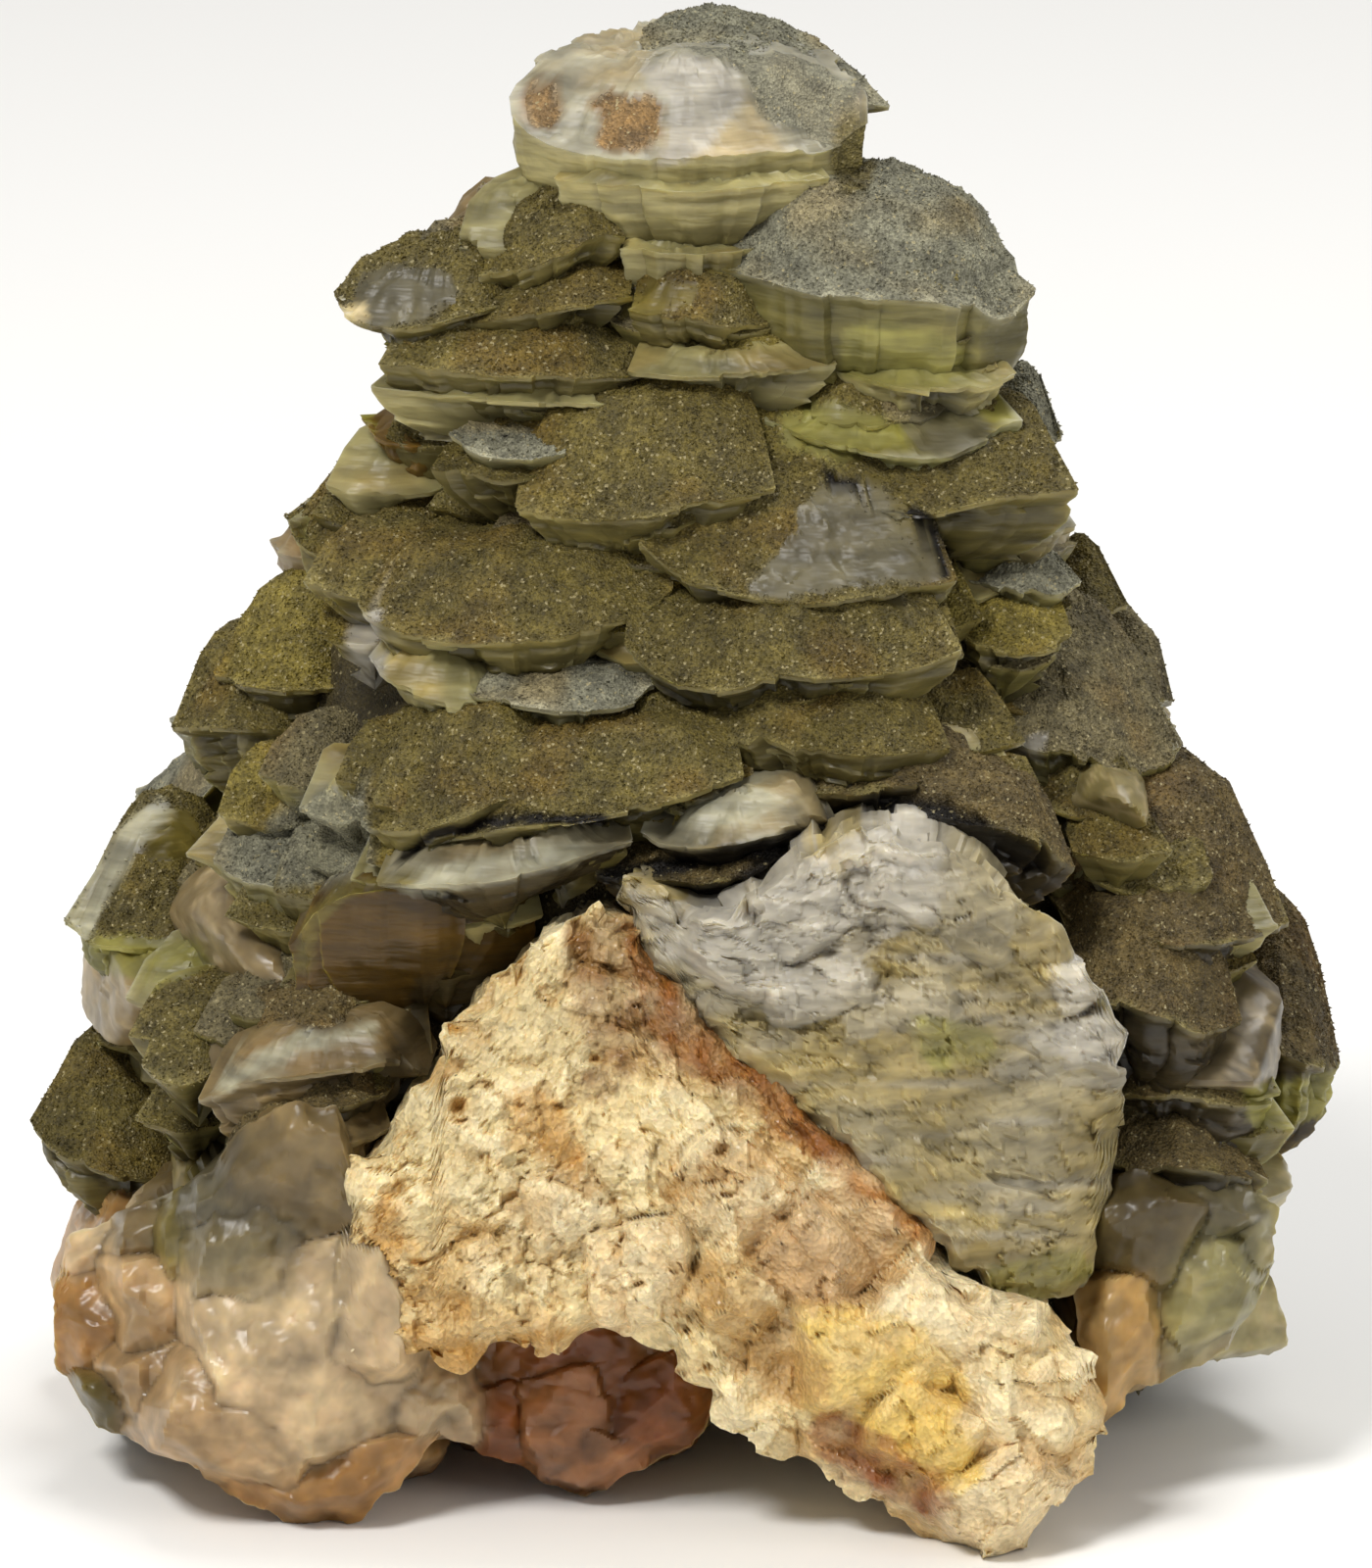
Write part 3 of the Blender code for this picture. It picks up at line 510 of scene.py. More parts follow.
LEFT_CRYSTALS = (
    Block("red_brown", -7, 10, 22, 15, 31.8, 0),
    Block("red_brown", -1.5, 10, 8, 8, 32.6, 30),
    Block("red_light", -8.5, 9.8, 6, 7, 33.2, 15),
    Block("red_light", -6.0, 6.6, 6, 4, 32.8, -20),
    Block("red_brown", -14.5, 9, 5, 6, 32.8, 10),
    Block("peach", -19.6, 10.5, 8, 7, 36.2, 20),
    Block("peach_deep", -24.8, 4.8, 15, 6.5, 38.0, 5),
    Block("peach_deep", -42.2, 16, 8.5, 9, 27.5, 10),
    Block("peach_deep", -43.5, 20.5, 5, 6, 24.5, -10),
    Block("peach_grey", -37.4, 17, 5.5, 9, 32.0, 5),
    Block("peach", -42, 23, 5.5, 5, 26.0, 15),
    Block("smoky", -38.2, 22.8, 4.5, 6, 29.5, -5),
    Block("gold", -34.8, 23.6, 4.5, 7.5, 33.0, 0),
    Block("peach_grey", -37.5, 11.5, 5, 6.5, 33.0, 25),
    Block("olive", -40.8, 10.7, 4.5, 4.5, 30.0, 20),
    Block("smoky", -27.5, 28, 10, 10, 39.6, 22),
    Block("grey_brown", -32.2, 27.5, 4.5, 7, 38.4, -12),
    Block("tan", -30.8, 22, 6.5, 7, 38.8, -15),
    Block("peach", -26.8, 15, 14, 15, 40.6, 14),
    Block("peach_grey", -31.8, 9.6, 10, 7, 39.6, -16),
    Block("peach", -22.5, 18.5, 5, 9, 40.9, -8),
)

RIGHT_CRYSTALS = (
    Block("honey", 30.6, 15.2, 6, 9.5, 33.5, 8),
    Block("brown", 32.7, 23.6, 6.5, 6.5, 33.0, -24),
    Block("pale", 36.7, 19, 7, 7, 31.8, 38),
    Block("tan", 35.6, 14.3, 6, 4.5, 30.5, -10),
    Block("pale_side", 40.6, 23.2, 5, 5.5, 28.5, 20),
    Block("grey_brown", 37.8, 25.2, 4.5, 4, 30.5, 30),
)

QUARTZ_CRYSTALS = (
    Block("cream", -13.8, 20, 6, 6, 41.3, 20),
    Block("quartz_pale", -3.3, 20.6, 7, 7, 42.0, 10),
    Block("cream", -9, 18.5, 4.5, 5, 41.0, -20),
    Block("cream", -15, 26.5, 5, 6, 40.8, 40),
    Block("quartz_pale", -8.3, 25.2, 6, 6, 41.4, 25),
    Block("cream", -3, 27.5, 5.5, 5, 40.8, 10),
    Block("cream", -19.5, 21, 5, 7, 40.6, 15),
    Block("quartz_pale", 3.3, 26.2, 8, 7, 42.4, -42),
    Block("peach_grey", 9.4, 21.4, 7, 6, 43.0, -42),
    Block("cream", 3.5, 19.5, 6, 5, 42.6, -30),
    Block("quartz_yellow", 11.5, 15.4, 5.5, 7, 44.0, 10),
    Block("quartz_pale", 16.6, 16.2, 7, 7.5, 43.6, -35),
    Block("quartz_yellow", 17, 9.4, 7, 5.5, 44.6, -30),
    Block("cream", 23.3, 11.8, 6.5, 8, 43.6, 12),
    Block("quartz_pale", 22.5, 4.6, 8, 6, 44.8, 30),
    Block("cream", 27.6, 10.5, 4.5, 7, 41.2, 20),
    Block("quartz_pale", 22, 17, 5, 4, 43.0, 0),
)

CLEAVED_CRYSTALS = (
    Block("white", 27.8, 41.4, 4, 3.4, 36.6, 20),
    Block("white", 29, 37.4, 7.5, 3.4, 35.8, 8),
    Block("white", 15.5, 49, 7, 5, 42.3, -20),
    Block("cleavage_grey", 19.5, 46.5, 6.5, 5.5, 41.2, -15),
    Block("white", 8.5, 46.5, 6, 5, 42.6, 30),
    Block("white", 4, 43.8, 6, 4.5, 42.8, -35),
    Block("white", 9.5, 41.2, 7, 3.6, 42.8, 12),
    Block("cleavage_grey", 15, 39.5, 7, 3.5, 42.4, 8),
)

# Clear crystals over a region: how far out it stands, where and how deep it turns away to the side, and
# how far back it reaches.
CrystalFace = namedtuple(
    "CrystalFace", "lower upper colour crystals out turn_start turn_end turn_depth back seed")
LEFT_BASE = CrystalFace(
    BASE_LOWER, BASE_UPPER, "peach_deep", LEFT_CRYSTALS, 30.6, -24.0, -47.0, 12.0, 12.0, 140)
RIGHT_BASE = CrystalFace(
    RIGHT_BASE_LOWER, RIGHT_BASE_UPPER, "tan", RIGHT_CRYSTALS, 30.0, 29.0, 44.0, 6.0, 10.0, 240)

# -------------------------------- small helpers


def seen(across, up, out):
    """The place, in millimetres, of a point given as it appears from in front."""
    z = (up + (out - FOOT_OUT) * math.sin(LOOK_DOWN)) / math.cos(LOOK_DOWN)
    return np.array((across, MIDDLE_OUT - out, max(z, 0.0)))


def as_seen(points):
    """The across and up of points, and how far out they stand."""
    out = MIDDLE_OUT - points[:, 1]
    up = points[:, 2] * math.cos(LOOK_DOWN) - (out - FOOT_OUT) * math.sin(LOOK_DOWN)
    return points[:, 0], up, out


def screen_colour(name):
    """A named colour in the linear values that a shader takes."""
    share = np.array(COLOURS[name]) / 255.0
    return np.where(share <= 0.04045, share / 12.92, ((share + 0.055) / 1.055) ** 2.4)


def corner_values(x, y, z, seed, count=1):
    """Repeatable numbers from -1 to 1 for each corner of a grid, mixed by large odd numbers."""
    mixed = (x * 374761393 + y * 668265263 + z * 2147483629 + seed * 1274126177) & 0xFFFFFFFF
    mixed = ((mixed ^ (mixed >> 13)) * 1274126177) & 0xFFFFFFFF
    values = []
    for _ in range(count):
        mixed = ((mixed ^ (mixed >> 15)) * 2246822519 + 3266489917) & 0xFFFFFFFF
        values.append(mixed / 0x7FFFFFFF - 1.0)
    return values


def noise(points, size, seed=0):
    """Smooth noise from -1 to 1, in lumps of about the given size."""
    place = np.asarray(points, float) / size
    cell = np.floor(place).astype(np.int64)
    part = place - cell
    part = part * part * (3.0 - 2.0 * part)
    total = np.zeros(len(place))
    for dx in (0, 1):
        for dy in (0, 1):
            for dz in (0, 1):
                share = np.abs(1 - dx - part[:, 0]) * np.abs(1 - dy - part[:, 1])
                share = share * np.abs(1 - dz - part[:, 2])
                x, y, z = cell[:, 0] + dx, cell[:, 1] + dy, cell[:, 2] + dz
                total += share * corner_values(x, y, z, seed)[0]
    return total


def rough(points, size, octaves=3, seed=0):
    """Noise with finer noise added to it, each time half the size and half the strength."""
    total = np.zeros(len(points))
    for octave in range(octaves):
        total += noise(points, size / 2 ** octave, seed + 17 * octave) / 2 ** octave
    return total


def facets(points, size, seed=0, tilt=1.0):
    """The height of flat, tilted faces of about the given size, and how far each point is from an edge.

    Each cell of a grid has one face, on a point pushed away from the middle of the cell.
    """
    place = np.asarray(points, float) / size
    cell = np.floor(place - 0.5).astype(np.int64)
    nearest = np.full(len(place), 9.0)
    second = np.full(len(place), 9.0)
    height = np.zeros(len(place))
    for dx in (0, 1):
        for dy in (0, 1):
            for dz in (0, 1):
                x, y, z = cell[:, 0] + dx, cell[:, 1] + dy, cell[:, 2] + dz
                values = corner_values(x, y, z, seed, 7)
                gap_x = place[:, 0] - x - 0.5 - 0.45 * values[0]
                gap_y = place[:, 1] - y - 0.5 - 0.45 * values[1]
                gap_z = place[:, 2] - z - 0.5 - 0.45 * values[2]
                length = np.sqrt(gap_x * gap_x + gap_y * gap_y + gap_z * gap_z)
                closer = length < nearest
                second = np.where(closer, nearest, np.minimum(second, length))
                nearest = np.where(closer, length, nearest)
                slope = gap_x * values[4] + gap_y * values[5] + gap_z * values[6]
                plane = 0.6 * values[3] + tilt * slope
                height = np.where(closer, plane, height)
    return height, second - nearest


def blocks(points, size, seed=0):
    """The height of blocky crystals grown into each other: flat leaning tops and steep flat sides."""
    place = np.asarray(points, float) / size
    cell = np.floor(place - 0.5).astype(np.int64)
    height = np.full(len(place), -1.0)
    for dx in (0, 1):
        for dy in (0, 1):
            for dz in (0, 1):
                x, y, z = cell[:, 0] + dx, cell[:, 1] + dy, cell[:, 2] + dz
                values = corner_values(x, y, z, seed, 6)
                gap_x = place[:, 0] - x - 0.5 - 0.35 * values[0]
                gap_z = place[:, 2] - z - 0.5 - 0.35 * values[1]
                lean, swing = np.cos(1.6 * values[2]), np.sin(1.6 * values[2])
                one = np.abs(lean * gap_x + swing * gap_z)
                other = np.abs(lean * gap_z - swing * gap_x)
                sides = 1.2 - 2.0 * np.maximum(one, 1.25 * other)
                top = 0.5 + 0.3 * values[3] + 0.6 * (gap_x * values[4] + gap_z * values[5])
                height = np.maximum(height, np.minimum(top, sides))
    return height - 0.45


def crystals(flat, table, ground, ground_colour, seed):
    """Blocky crystals on a ground: how far out they stand, their colour and the distance from a seam."""
    heights, tints = [ground], [ground_colour]
    warp = flat + 0.35 * rough(flat, 2.5, 3, seed + 1)[:, None]
    for number, spec in enumerate(table):
        chance = np.random.default_rng(seed + number)
        turn = math.radians(spec.turn)
        gap_x, gap_z = warp[:, 0] - spec.across, warp[:, 2] - spec.up
        one = math.cos(turn) * gap_x + math.sin(turn) * gap_z
        other = math.cos(turn) * gap_z - math.sin(turn) * gap_x
        corner = 0.1 * min(spec.wide, spec.high)
        beyond_x = np.abs(one) - spec.wide / 2 + corner
        beyond_z = np.abs(other) - spec.high / 2 + corner
        beyond = np.hypot(np.maximum(beyond_x, 0.0), np.maximum(beyond_z, 0.0)) - corner
        beyond += np.minimum(np.maximum(beyond_x, beyond_z), 0.0)
        height = spec.out + chance.uniform(-0.15, 0.15) * one + chance.uniform(-0.15, 0.15) * other
        start = chance.uniform(0.0, math.tau)
        for side in range(3):
            aim = start + math.tau / 3 * side + chance.uniform(-0.5, 0.5)
            along = math.cos(aim) * one / spec.wide + math.sin(aim) * other / spec.high
            slope = chance.uniform(0.35, 0.8) * min(spec.wide, spec.high)
            height = np.minimum(height, spec.out + slope * (chance.uniform(0.05, 0.3) - along))
        height -= 2.6 * np.maximum(beyond, 0.0)
        heights.append(height)
        tints.append(screen_colour(spec.colour) * chance.uniform(0.9, 1.08))
    heights = np.stack(heights)
    best, second = np.sort(heights, axis=0)[:-3:-1]
    weights = np.exp((heights - best) / 0.8)
    shade = (weights[:, :, None] * np.array(tints)[:, None]).sum(axis=0) / weights.sum(axis=0)[:, None]
    return best, shade, soft_step(0.0, 0.7, best - second)


def soft_step(low, high, values):
    """From 0 at low to 1 at high, easing in and out."""
    part = np.clip((values - low) / (high - low), 0.0, 1.0)
    return part * part * (3.0 - 2.0 * part)


def blend(colours, colour, share):
    """Colours moved toward another colour by a share for each point."""
    return colours + (colour - colours) * np.clip(share, 0.0, 1.0)[:, None]


def resample(points, step):
    """Points every step along a line of points."""
    points = np.asarray(points, float)
    lengths = np.linalg.norm(np.diff(points, axis=0), axis=1)
    along = np.concatenate([[0.0], np.cumsum(lengths)])
    count = max(int(along[-1] / step), 2) + 1
    wanted = np.linspace(0.0, along[-1], count)
    return np.stack([np.interp(wanted, along, points[:, axis]) for axis in range(3)], axis=1)


def round_corners(points, times):
    """Cuts the corners of an open line, keeping its ends."""
    points = np.asarray(points, float)
    for _ in range(times):
        near = points[:-1] * 0.75 + points[1:] * 0.25
        far = points[:-1] * 0.25 + points[1:] * 0.75
        middle = np.stack([near, far], axis=1).reshape(-1, 3)
        points = np.concatenate([points[:1], middle[1:-1], points[-1:]])
    return points


def inside(across, up, outline):
    """Whether each place lies inside an outline."""
    found = np.zeros(len(across), bool)
    for (a0, u0), (a1, u1) in zip(outline, outline[1:] + outline[:1]):
        if u0 == u1:
            continue
        crosses = (up > u0) != (up > u1)
        found ^= crosses & (across < a0 + (up - u0) * (a1 - a0) / (u1 - u0))
    return found


def zone_share(across, up, points, outline, wander=0.5, seed=0):
    """How much of each point's neighbourhood lies in a zone, with a ragged border."""
    lowest, highest = np.min(outline, axis=0) - 2.0, np.max(outline, axis=0) + 2.0
    near = (across > lowest[0]) & (across < highest[0]) & (up > lowest[1]) & (up < highest[1])
    share = np.zeros(len(across))
    if not near.any():
        return share
    spots = points[near]
    for number in range(4):
        push_across = wander * rough(spots, 1.6, 2, seed + 5 * number)
        push_up = wander * rough(spots, 1.6, 2, seed + 5 * number + 3)
        share[near] += inside(across[near] + push_across, up[near] + push_up, outline) / 4.0
    return share


def crack_depth(across, up, points, line, width):
    """How deep each point lies in an open crack, from 0 to 1."""
    line = np.array(line)
    lowest, highest = line.min(axis=0) - 2.0, line.max(axis=0) + 2.0
    near = (across > lowest[0]) & (across < highest[0]) & (up > lowest[1]) & (up < highest[1])
    depth = np.zeros(len(across))
    if not near.any():
        return depth
    place = np.stack([across[near], up[near]], axis=1)
    place[:, 1] += 0.25 * noise(points[near], 1.3, 71)
    gap = np.full(len(place), 9.0)
    for start, end in zip(line[:-1], line[1:]):
        along = end - start
        part = np.clip(((place - start) @ along) / (along @ along), 0.0, 1.0)
        gap = np.minimum(gap, np.linalg.norm(place - start - part[:, None] * along, axis=1))
    depth[near] = 1.0 - soft_step(0.4 * width, width, gap)
    return depth


def paint(points, colours, coats, zones):
    """Paints the zones, and where there are any the open cracks, over the front of a surface."""
    across, up, out = as_seen(points)
    front = out > 0.0
    for number, zone in enumerate(zones):
        share = zone_share(across, up, points, zone.outline, seed=200 + 20 * number) * front
        if share.any():
            shade = screen_colour(zone.colour) * (0.88 + 0.24 * noise(points, 1.4, 60 + number))[:, None]
            colours = colours + (shade - colours) * (0.85 * share)[:, None]
            coats = np.where(share > 0.5, zone.coated, coats)
    if zones:
        for line, width in CRACKS:
            depth = crack_depth(across, up, points, line, width) * front
            # An open crack is painted near black as shade in it, and its bottom is pushed in.
            colours = blend(colours, screen_colour("crack"), depth)
            points = points + CRACK_PUSH * (depth * min(width, DEEPEST_CRACK))[:, None]
    return points, colours, coats


# The directions from which an open place can be seen, how far from it a view starts and how far it looks.
OPEN_START = 0.4
OPEN_REACH = 30.0
OPEN_VIEWS = (
    Vector((0.0, -1.0, 0.3)).normalized(),
    Vector((0.0, -0.5, 0.8)).normalized(),
    Vector((0.6, -0.5, 0.5)).normalized(),
    Vector((-0.6, -0.5, 0.5)).normalized(),
)


class Surface:
    """Collects closed shells into one mesh.

    Each point has a colour, and a coat that is 1 where druse covers it and 0 where it is bare.
    """

    def __init__(self):
        self.points, self.quads, self.triangles, self.colours, self.coats = [], [], [], [], []
        self.count = 0
        self.open = None

    def add(self, points, quads, triangles, colours, coats):
        """Adds one shell, whose faces count its own points from zero."""
        self.points.append(points)
        self.quads.append(np.asarray(quads, np.int64).reshape(-1, 4) + self.count)
        self.triangles.append(np.asarray(triangles, np.int64).reshape(-1, 3) + self.count)
        self.colours.append(colours)
        self.coats.append(coats)
        self.count += len(points)

    def add_rings(self, rings, peak, base, colours, coats):
        """A closed shell from a peak, over rings, to a base. Colours and coats follow the same order."""
        rows, size = len(rings), len(rings[0])
        points = np.concatenate([[peak]] + list(rings) + [[base]])
        place = np.arange(size)
        after = (place + 1) % size
        last = 1 + rows * size
        caps = [
            np.stack([np.zeros(size, np.int64), 1 + place, 1 + after], axis=1),
            np.stack([np.full(size, last), last - size + after, last - size + place], axis=1),
        ]
        quads = []
        for row in range(rows - 1):
            upper, lower = 1 + row * size, 1 + (row + 1) * size
            quads.append(np.stack([upper + place, lower + place, lower + after, upper + after], axis=1))
        self.add(points, np.concatenate(quads), np.concatenate(caps), colours, coats)

    def tree(self):
        """The surface in a form that rays can be cast at."""
        faces = np.concatenate(self.quads).tolist() + np.concatenate(self.triangles).tolist()
        return BVHTree.FromPolygons(np.concatenate(self.points).tolist(), faces)

    def find_open(self, trees):
        """Marks the coated points that some view from in front or above can reach."""
        points = np.concatenate(self.points)
        self.open = np.zeros(len(points))
        coated = np.concatenate(self.coats) > 0.5
        for number in np.nonzero(coated)[0]:
            spot = Vector(points[number])
            for view in OPEN_VIEWS:
                start = spot + view * OPEN_START
                if not any(tree.ray_cast(start, view, OPEN_REACH)[0] for tree in trees):
                    self.open[number] = 1.0
                    break

    def make(self, name, materials, zones=(), sharp=50.0):
        """The mesh object. Of two materials, the first is for coated faces and the second for bare ones."""
        points, colours, coats = paint(
            np.concatenate(self.points), np.concatenate(self.colours), np.concatenate(self.coats), zones)
        quads, triangles = np.concatenate(self.quads), np.concatenate(self.triangles)
        mesh = bpy.data.meshes.new(name)
        mesh.from_pydata((points * MM).tolist(), [], quads.tolist() + triangles.tolist())
        tint = mesh.color_attributes.new("tint", "FLOAT_COLOR", "POINT")
        tint.data.foreach_set("color", np.column_stack([colours, np.ones(len(colours))]).ravel())
        if self.open is not None:
            grain_share = mesh.attributes.new("grain_share", "FLOAT", "POINT")
            grain_share.data.foreach_set("value", coats * self.open)
        for material in materials:
            mesh.materials.append(material)
        if len(materials) > 1:
            shares = np.concatenate([coats[quads].mean(axis=1), coats[triangles].mean(axis=1)])
            mesh.polygons.foreach_set("material_index", np.where(shares > 0.5, 0, 1))
        mesh.polygons.foreach_set("use_smooth", np.ones(len(mesh.polygons), bool))
        mesh.set_sharp_from_angle(angle=math.radians(sharp))
        mesh.update()
        made = bpy.data.objects.new(name, mesh)
        bpy.context.scene.collection.objects.link(made)
        return made


# -------------------------------- the plates

# The width of a mesh face: along a lip, along a buried back, along a free back and on a small plate.
LIP_STEP = 0.3
BURIED_STEP = 1.2
FREE_STEP = 0.45
SMALL_STEP = 0.55
# How blunt the back of a plate is: 1 is a half wave, and less is squarer.
BACK_BLUNT = 0.62
# A top breaks into thin ledges: how wide and how deep they are.
LEDGE_WIDTH = 1.7
LEDGE_DEPTH = 0.4
# A side breaks into layers: how thick they are, how far they stand out and how deep the crevices are.
LAYER_THICKNESS = 1.3
LAYER_DEPTH = 0.6
CREVICE_DEPTH = 1.3
# The lowest that a surface reaches, so that it never cuts the floor.
LOWEST = 0.05

# What a shade turns to where a top is browner.
WARM_SHIFT = np.array((1.12, 0.96, 0.72))


def flatten(vector):
    """The level direction of a vector, one long."""
    level = vector * np.array((1.0, 1.0, 0.0))
    return level / max(np.linalg.norm(level), 1e-9)


class Top:
    """The sloping top of a plate: how high it stands over any place in plan."""

    def __init__(self, lip, behind, rise, seed):
        self.behind, self.rise, self.seed = behind, rise, seed
        self.side = flatten(lip[-1] - lip[0])
        order = np.argsort(lip @ self.side)
        self.places = (lip @ self.side)[order]
        self.heights = lip[order, 2]
        self.fronts = (lip @ behind)[order]
        self.depth = max(2.0, 0.62 * rise)

    def far(self, points):
        """How far behind the lip each point lies."""
        fronts = np.interp(points @ self.side, self.places, self.fronts)
        return np.maximum(points @ self.behind - fronts, 0.0)

    def height(self, points):
        """How high the top stands at each point: a climb, low swells, crinkles and thin ledges."""
        place = points @ self.side
        far = self.far(points)
        span = max(self.places[-1] - self.places[0], 1e-6)
        end = np.clip(np.abs(2.0 * (place - self.places[0]) / span - 1.0), 0.0, 1.0)
        ramp = far / self.depth
        climb = 0.62 * ramp ** 1.3 / (1.0 + (ramp / 1.45) ** 5) ** 0.26
        z = np.interp(place, self.places, self.heights) + self.rise * (1.0 - 0.38 * end ** 4) * climb
        level = points * np.array((1.0, 1.0, 0.0))
        shifted = level + 0.3 * rough(level, 1.2, 2, self.seed)[:, None]
        crinkle, _ = facets(shifted, 1.5, self.seed + 2, 1.0)
        swell = 0.5 * rough(level, 5.0, 3, self.seed) + 0.14 * rough(level, 0.9, 2, self.seed + 3)
        swell = swell + 0.2 * crinkle
        sheet = far / LEDGE_WIDTH + 0.9 * noise(level, 3.4, self.seed + 7)
        ledge = (sheet - np.floor(sheet)) * soft_step(-0.1, 0.3, noise(level, 4.0, self.seed + 9))
        return z + swell * np.minimum(far, 1.0) - LEDGE_DEPTH * ledge * np.minimum(far * 1.5, 1.0)


def plate_edge(lip, behind, reach, free):
    """The edge of a plate: its lip, and a bow behind it. Also how much each point shows."""
    left, right = lip[0], lip[-1]
    step = FREE_STEP if free else BURIED_STEP
    turn = np.linspace(0.0, 1.0, max(int((reach * 2.6) / step), 8) + 2)[1:-1]
    bow = np.sin(np.pi * turn) ** BACK_BLUNT
    back = right + (left - right) * turn[:, None] + behind * (reach * bow)[:, None]
    back_shown = np.ones(len(turn)) if free else soft_step(0.0, 0.4, np.abs(2 * turn - 1) ** 4)
    shown = np.concatenate([np.ones(len(lip)), back_shown])
    return np.concatenate([lip, back]), shown


def plate_top(top, edge, shown, heart, style, step, seed):
    """The rings of a top, from near its middle out to its edge, with their colours."""
    shares = 0.98 * (1.0 - np.linspace(0.0, 1.0, max(int(1.5 * max(top.rise, 3.0) / step), 8)) ** 1.35)
    rings = (edge + (heart - edge) * shares[:, None, None]).reshape(-1, 3)
    rings[:, 2] = top.height(rings)
    shown = np.tile(shown, len(shares))
    # Near the lip the top takes the lip colour: a painted highlight along the edge, broken in places.
    lip_highlight = np.clip(1.0 - top.far(rings) / 0.8, 0.0, 1.0)
    lip_highlight = lip_highlight * soft_step(-0.3, 0.6, noise(rings, 2.2, seed + 13))
    top_colour = screen_colour(style.top)
    shade = top_colour * (0.94 + 0.22 * rough(rings, 3.0, 2, seed + 11))[:, None]
    shade = blend(shade, shade * WARM_SHIFT, soft_step(0.0, 0.9, rough(rings, 5.0, 2, seed + 15)))
    shade = blend(shade, screen_colour(style.lip), 0.8 * lip_highlight * shown)
    return rings.reshape(len(shares), -1, 3), shade


def side_depths(height, step):
    """How far below the lip each ring of a side lies: closer together just under a fine lip."""
    depths = np.linspace(0.3, height, max(int(height / (1.25 * step)), 5))
    if step < 0.5:
        depths = np.concatenate([(0.15, 0.35, 0.55), np.linspace(0.8, height, len(depths) + 3)])
    return depths


def broken_layers(above, down, layered, seed):
    """How far down its layer each point of a side lies, and how strongly that layer stands out."""
    layer = down / LAYER_THICKNESS + 0.8 * noise(above, 5.0, seed + 53)
    part = layer - np.floor(layer)
    spot = above + 9.0 * np.floor(layer)[:, None]
    shelf = layered * soft_step(-0.35, 0.3, noise(spot, 3.0, seed + 59)) * np.clip(down - 0.5, 0.0, 1.0)
    return part, shelf


def plate_side(edge, outward, shown, drop, cove, layered, style, step, seed):
    """The rings of a side: an overhanging lip, thin broken layers under it, and a curve back in."""
    height = drop + cove
    depths = side_depths(height, step)
    down = np.repeat(depths, len(edge))
    above, outward = np.tile(edge, (len(depths), 1)), np.tile(outward, (len(depths), 1))
    shown = np.tile(shown, len(depths))
    rings = above.copy()
    rings[:, 2] -= down * (1.0 + 0.12 * noise(above, 4.0, seed + 37))
    streak = noise(rings * np.array((0.3, 0.3, 2.4)), 1.0, seed + 41)
    flake, _ = facets(rings * np.array((0.45, 0.45, 1.4)), 1.8, seed + 47, 0.8)
    under = np.clip((down - 0.55 * drop) / (height - 0.55 * drop), 0.0, 1.0)
    ledge = soft_step(-0.4, 0.6, noise(above, 3.5, seed + 29))
    part, shelf = broken_layers(above, down, layered, seed)
    inset = 0.06 + (0.25 + 0.75 * ledge) * layered * np.clip((down - 0.35) / 0.45, 0.0, 1.0)
    inset += 0.12 * np.minimum(down, 2.0) + 1.5 * cove * under ** 1.6 + 0.1 * streak
    crevice = soft_step(0.0, 0.5, noise(above, 6.0, seed + 61)) * layered
    crevice = crevice * np.clip((down - 0.45) / 0.3, 0.0, 1.0)
    inset += CREVICE_DEPTH * crevice
    chipped = (0.1 + 0.3 * under * (0.3 + 0.7 * layered)) * flake * np.minimum(down, 1.0)
    inset += chipped + LAYER_DEPTH * part ** 1.4 * shelf
    rings -= outward * (np.maximum(inset, 0.05) * shown)[:, None]
    # A painted glow that varies along the side.
    glow = 0.5 + 0.5 * noise(above, 5.0, seed + 23)
    # Painted shade toward the bottom of the side; each layer lighter at its top and darker at its foot.
    light = 0.84 + 0.3 * glow + 0.2 * streak - 0.3 * under + 0.5 * shelf * (0.4 - part)
    # Painted shade in the crevices under the lip.
    light *= 1.0 - 0.5 * crevice * np.clip(1.6 - 0.5 * down, 0.0, 1.0)
    # Painted shade in broad patches on the sides of coated plates.
    light *= 1.0 - 0.4 * style.coated * soft_step(-0.1, 0.5, noise(above, 8.0, seed + 67))
    shade = screen_colour(style.side) * light[:, None]
    # Just under the lip the side takes the lip colour: a painted highlight along the edge.
    shade = blend(shade, screen_colour(style.lip), 0.5 * np.exp(-down / 0.35))
    return rings.reshape(len(depths), -1, 3), shade


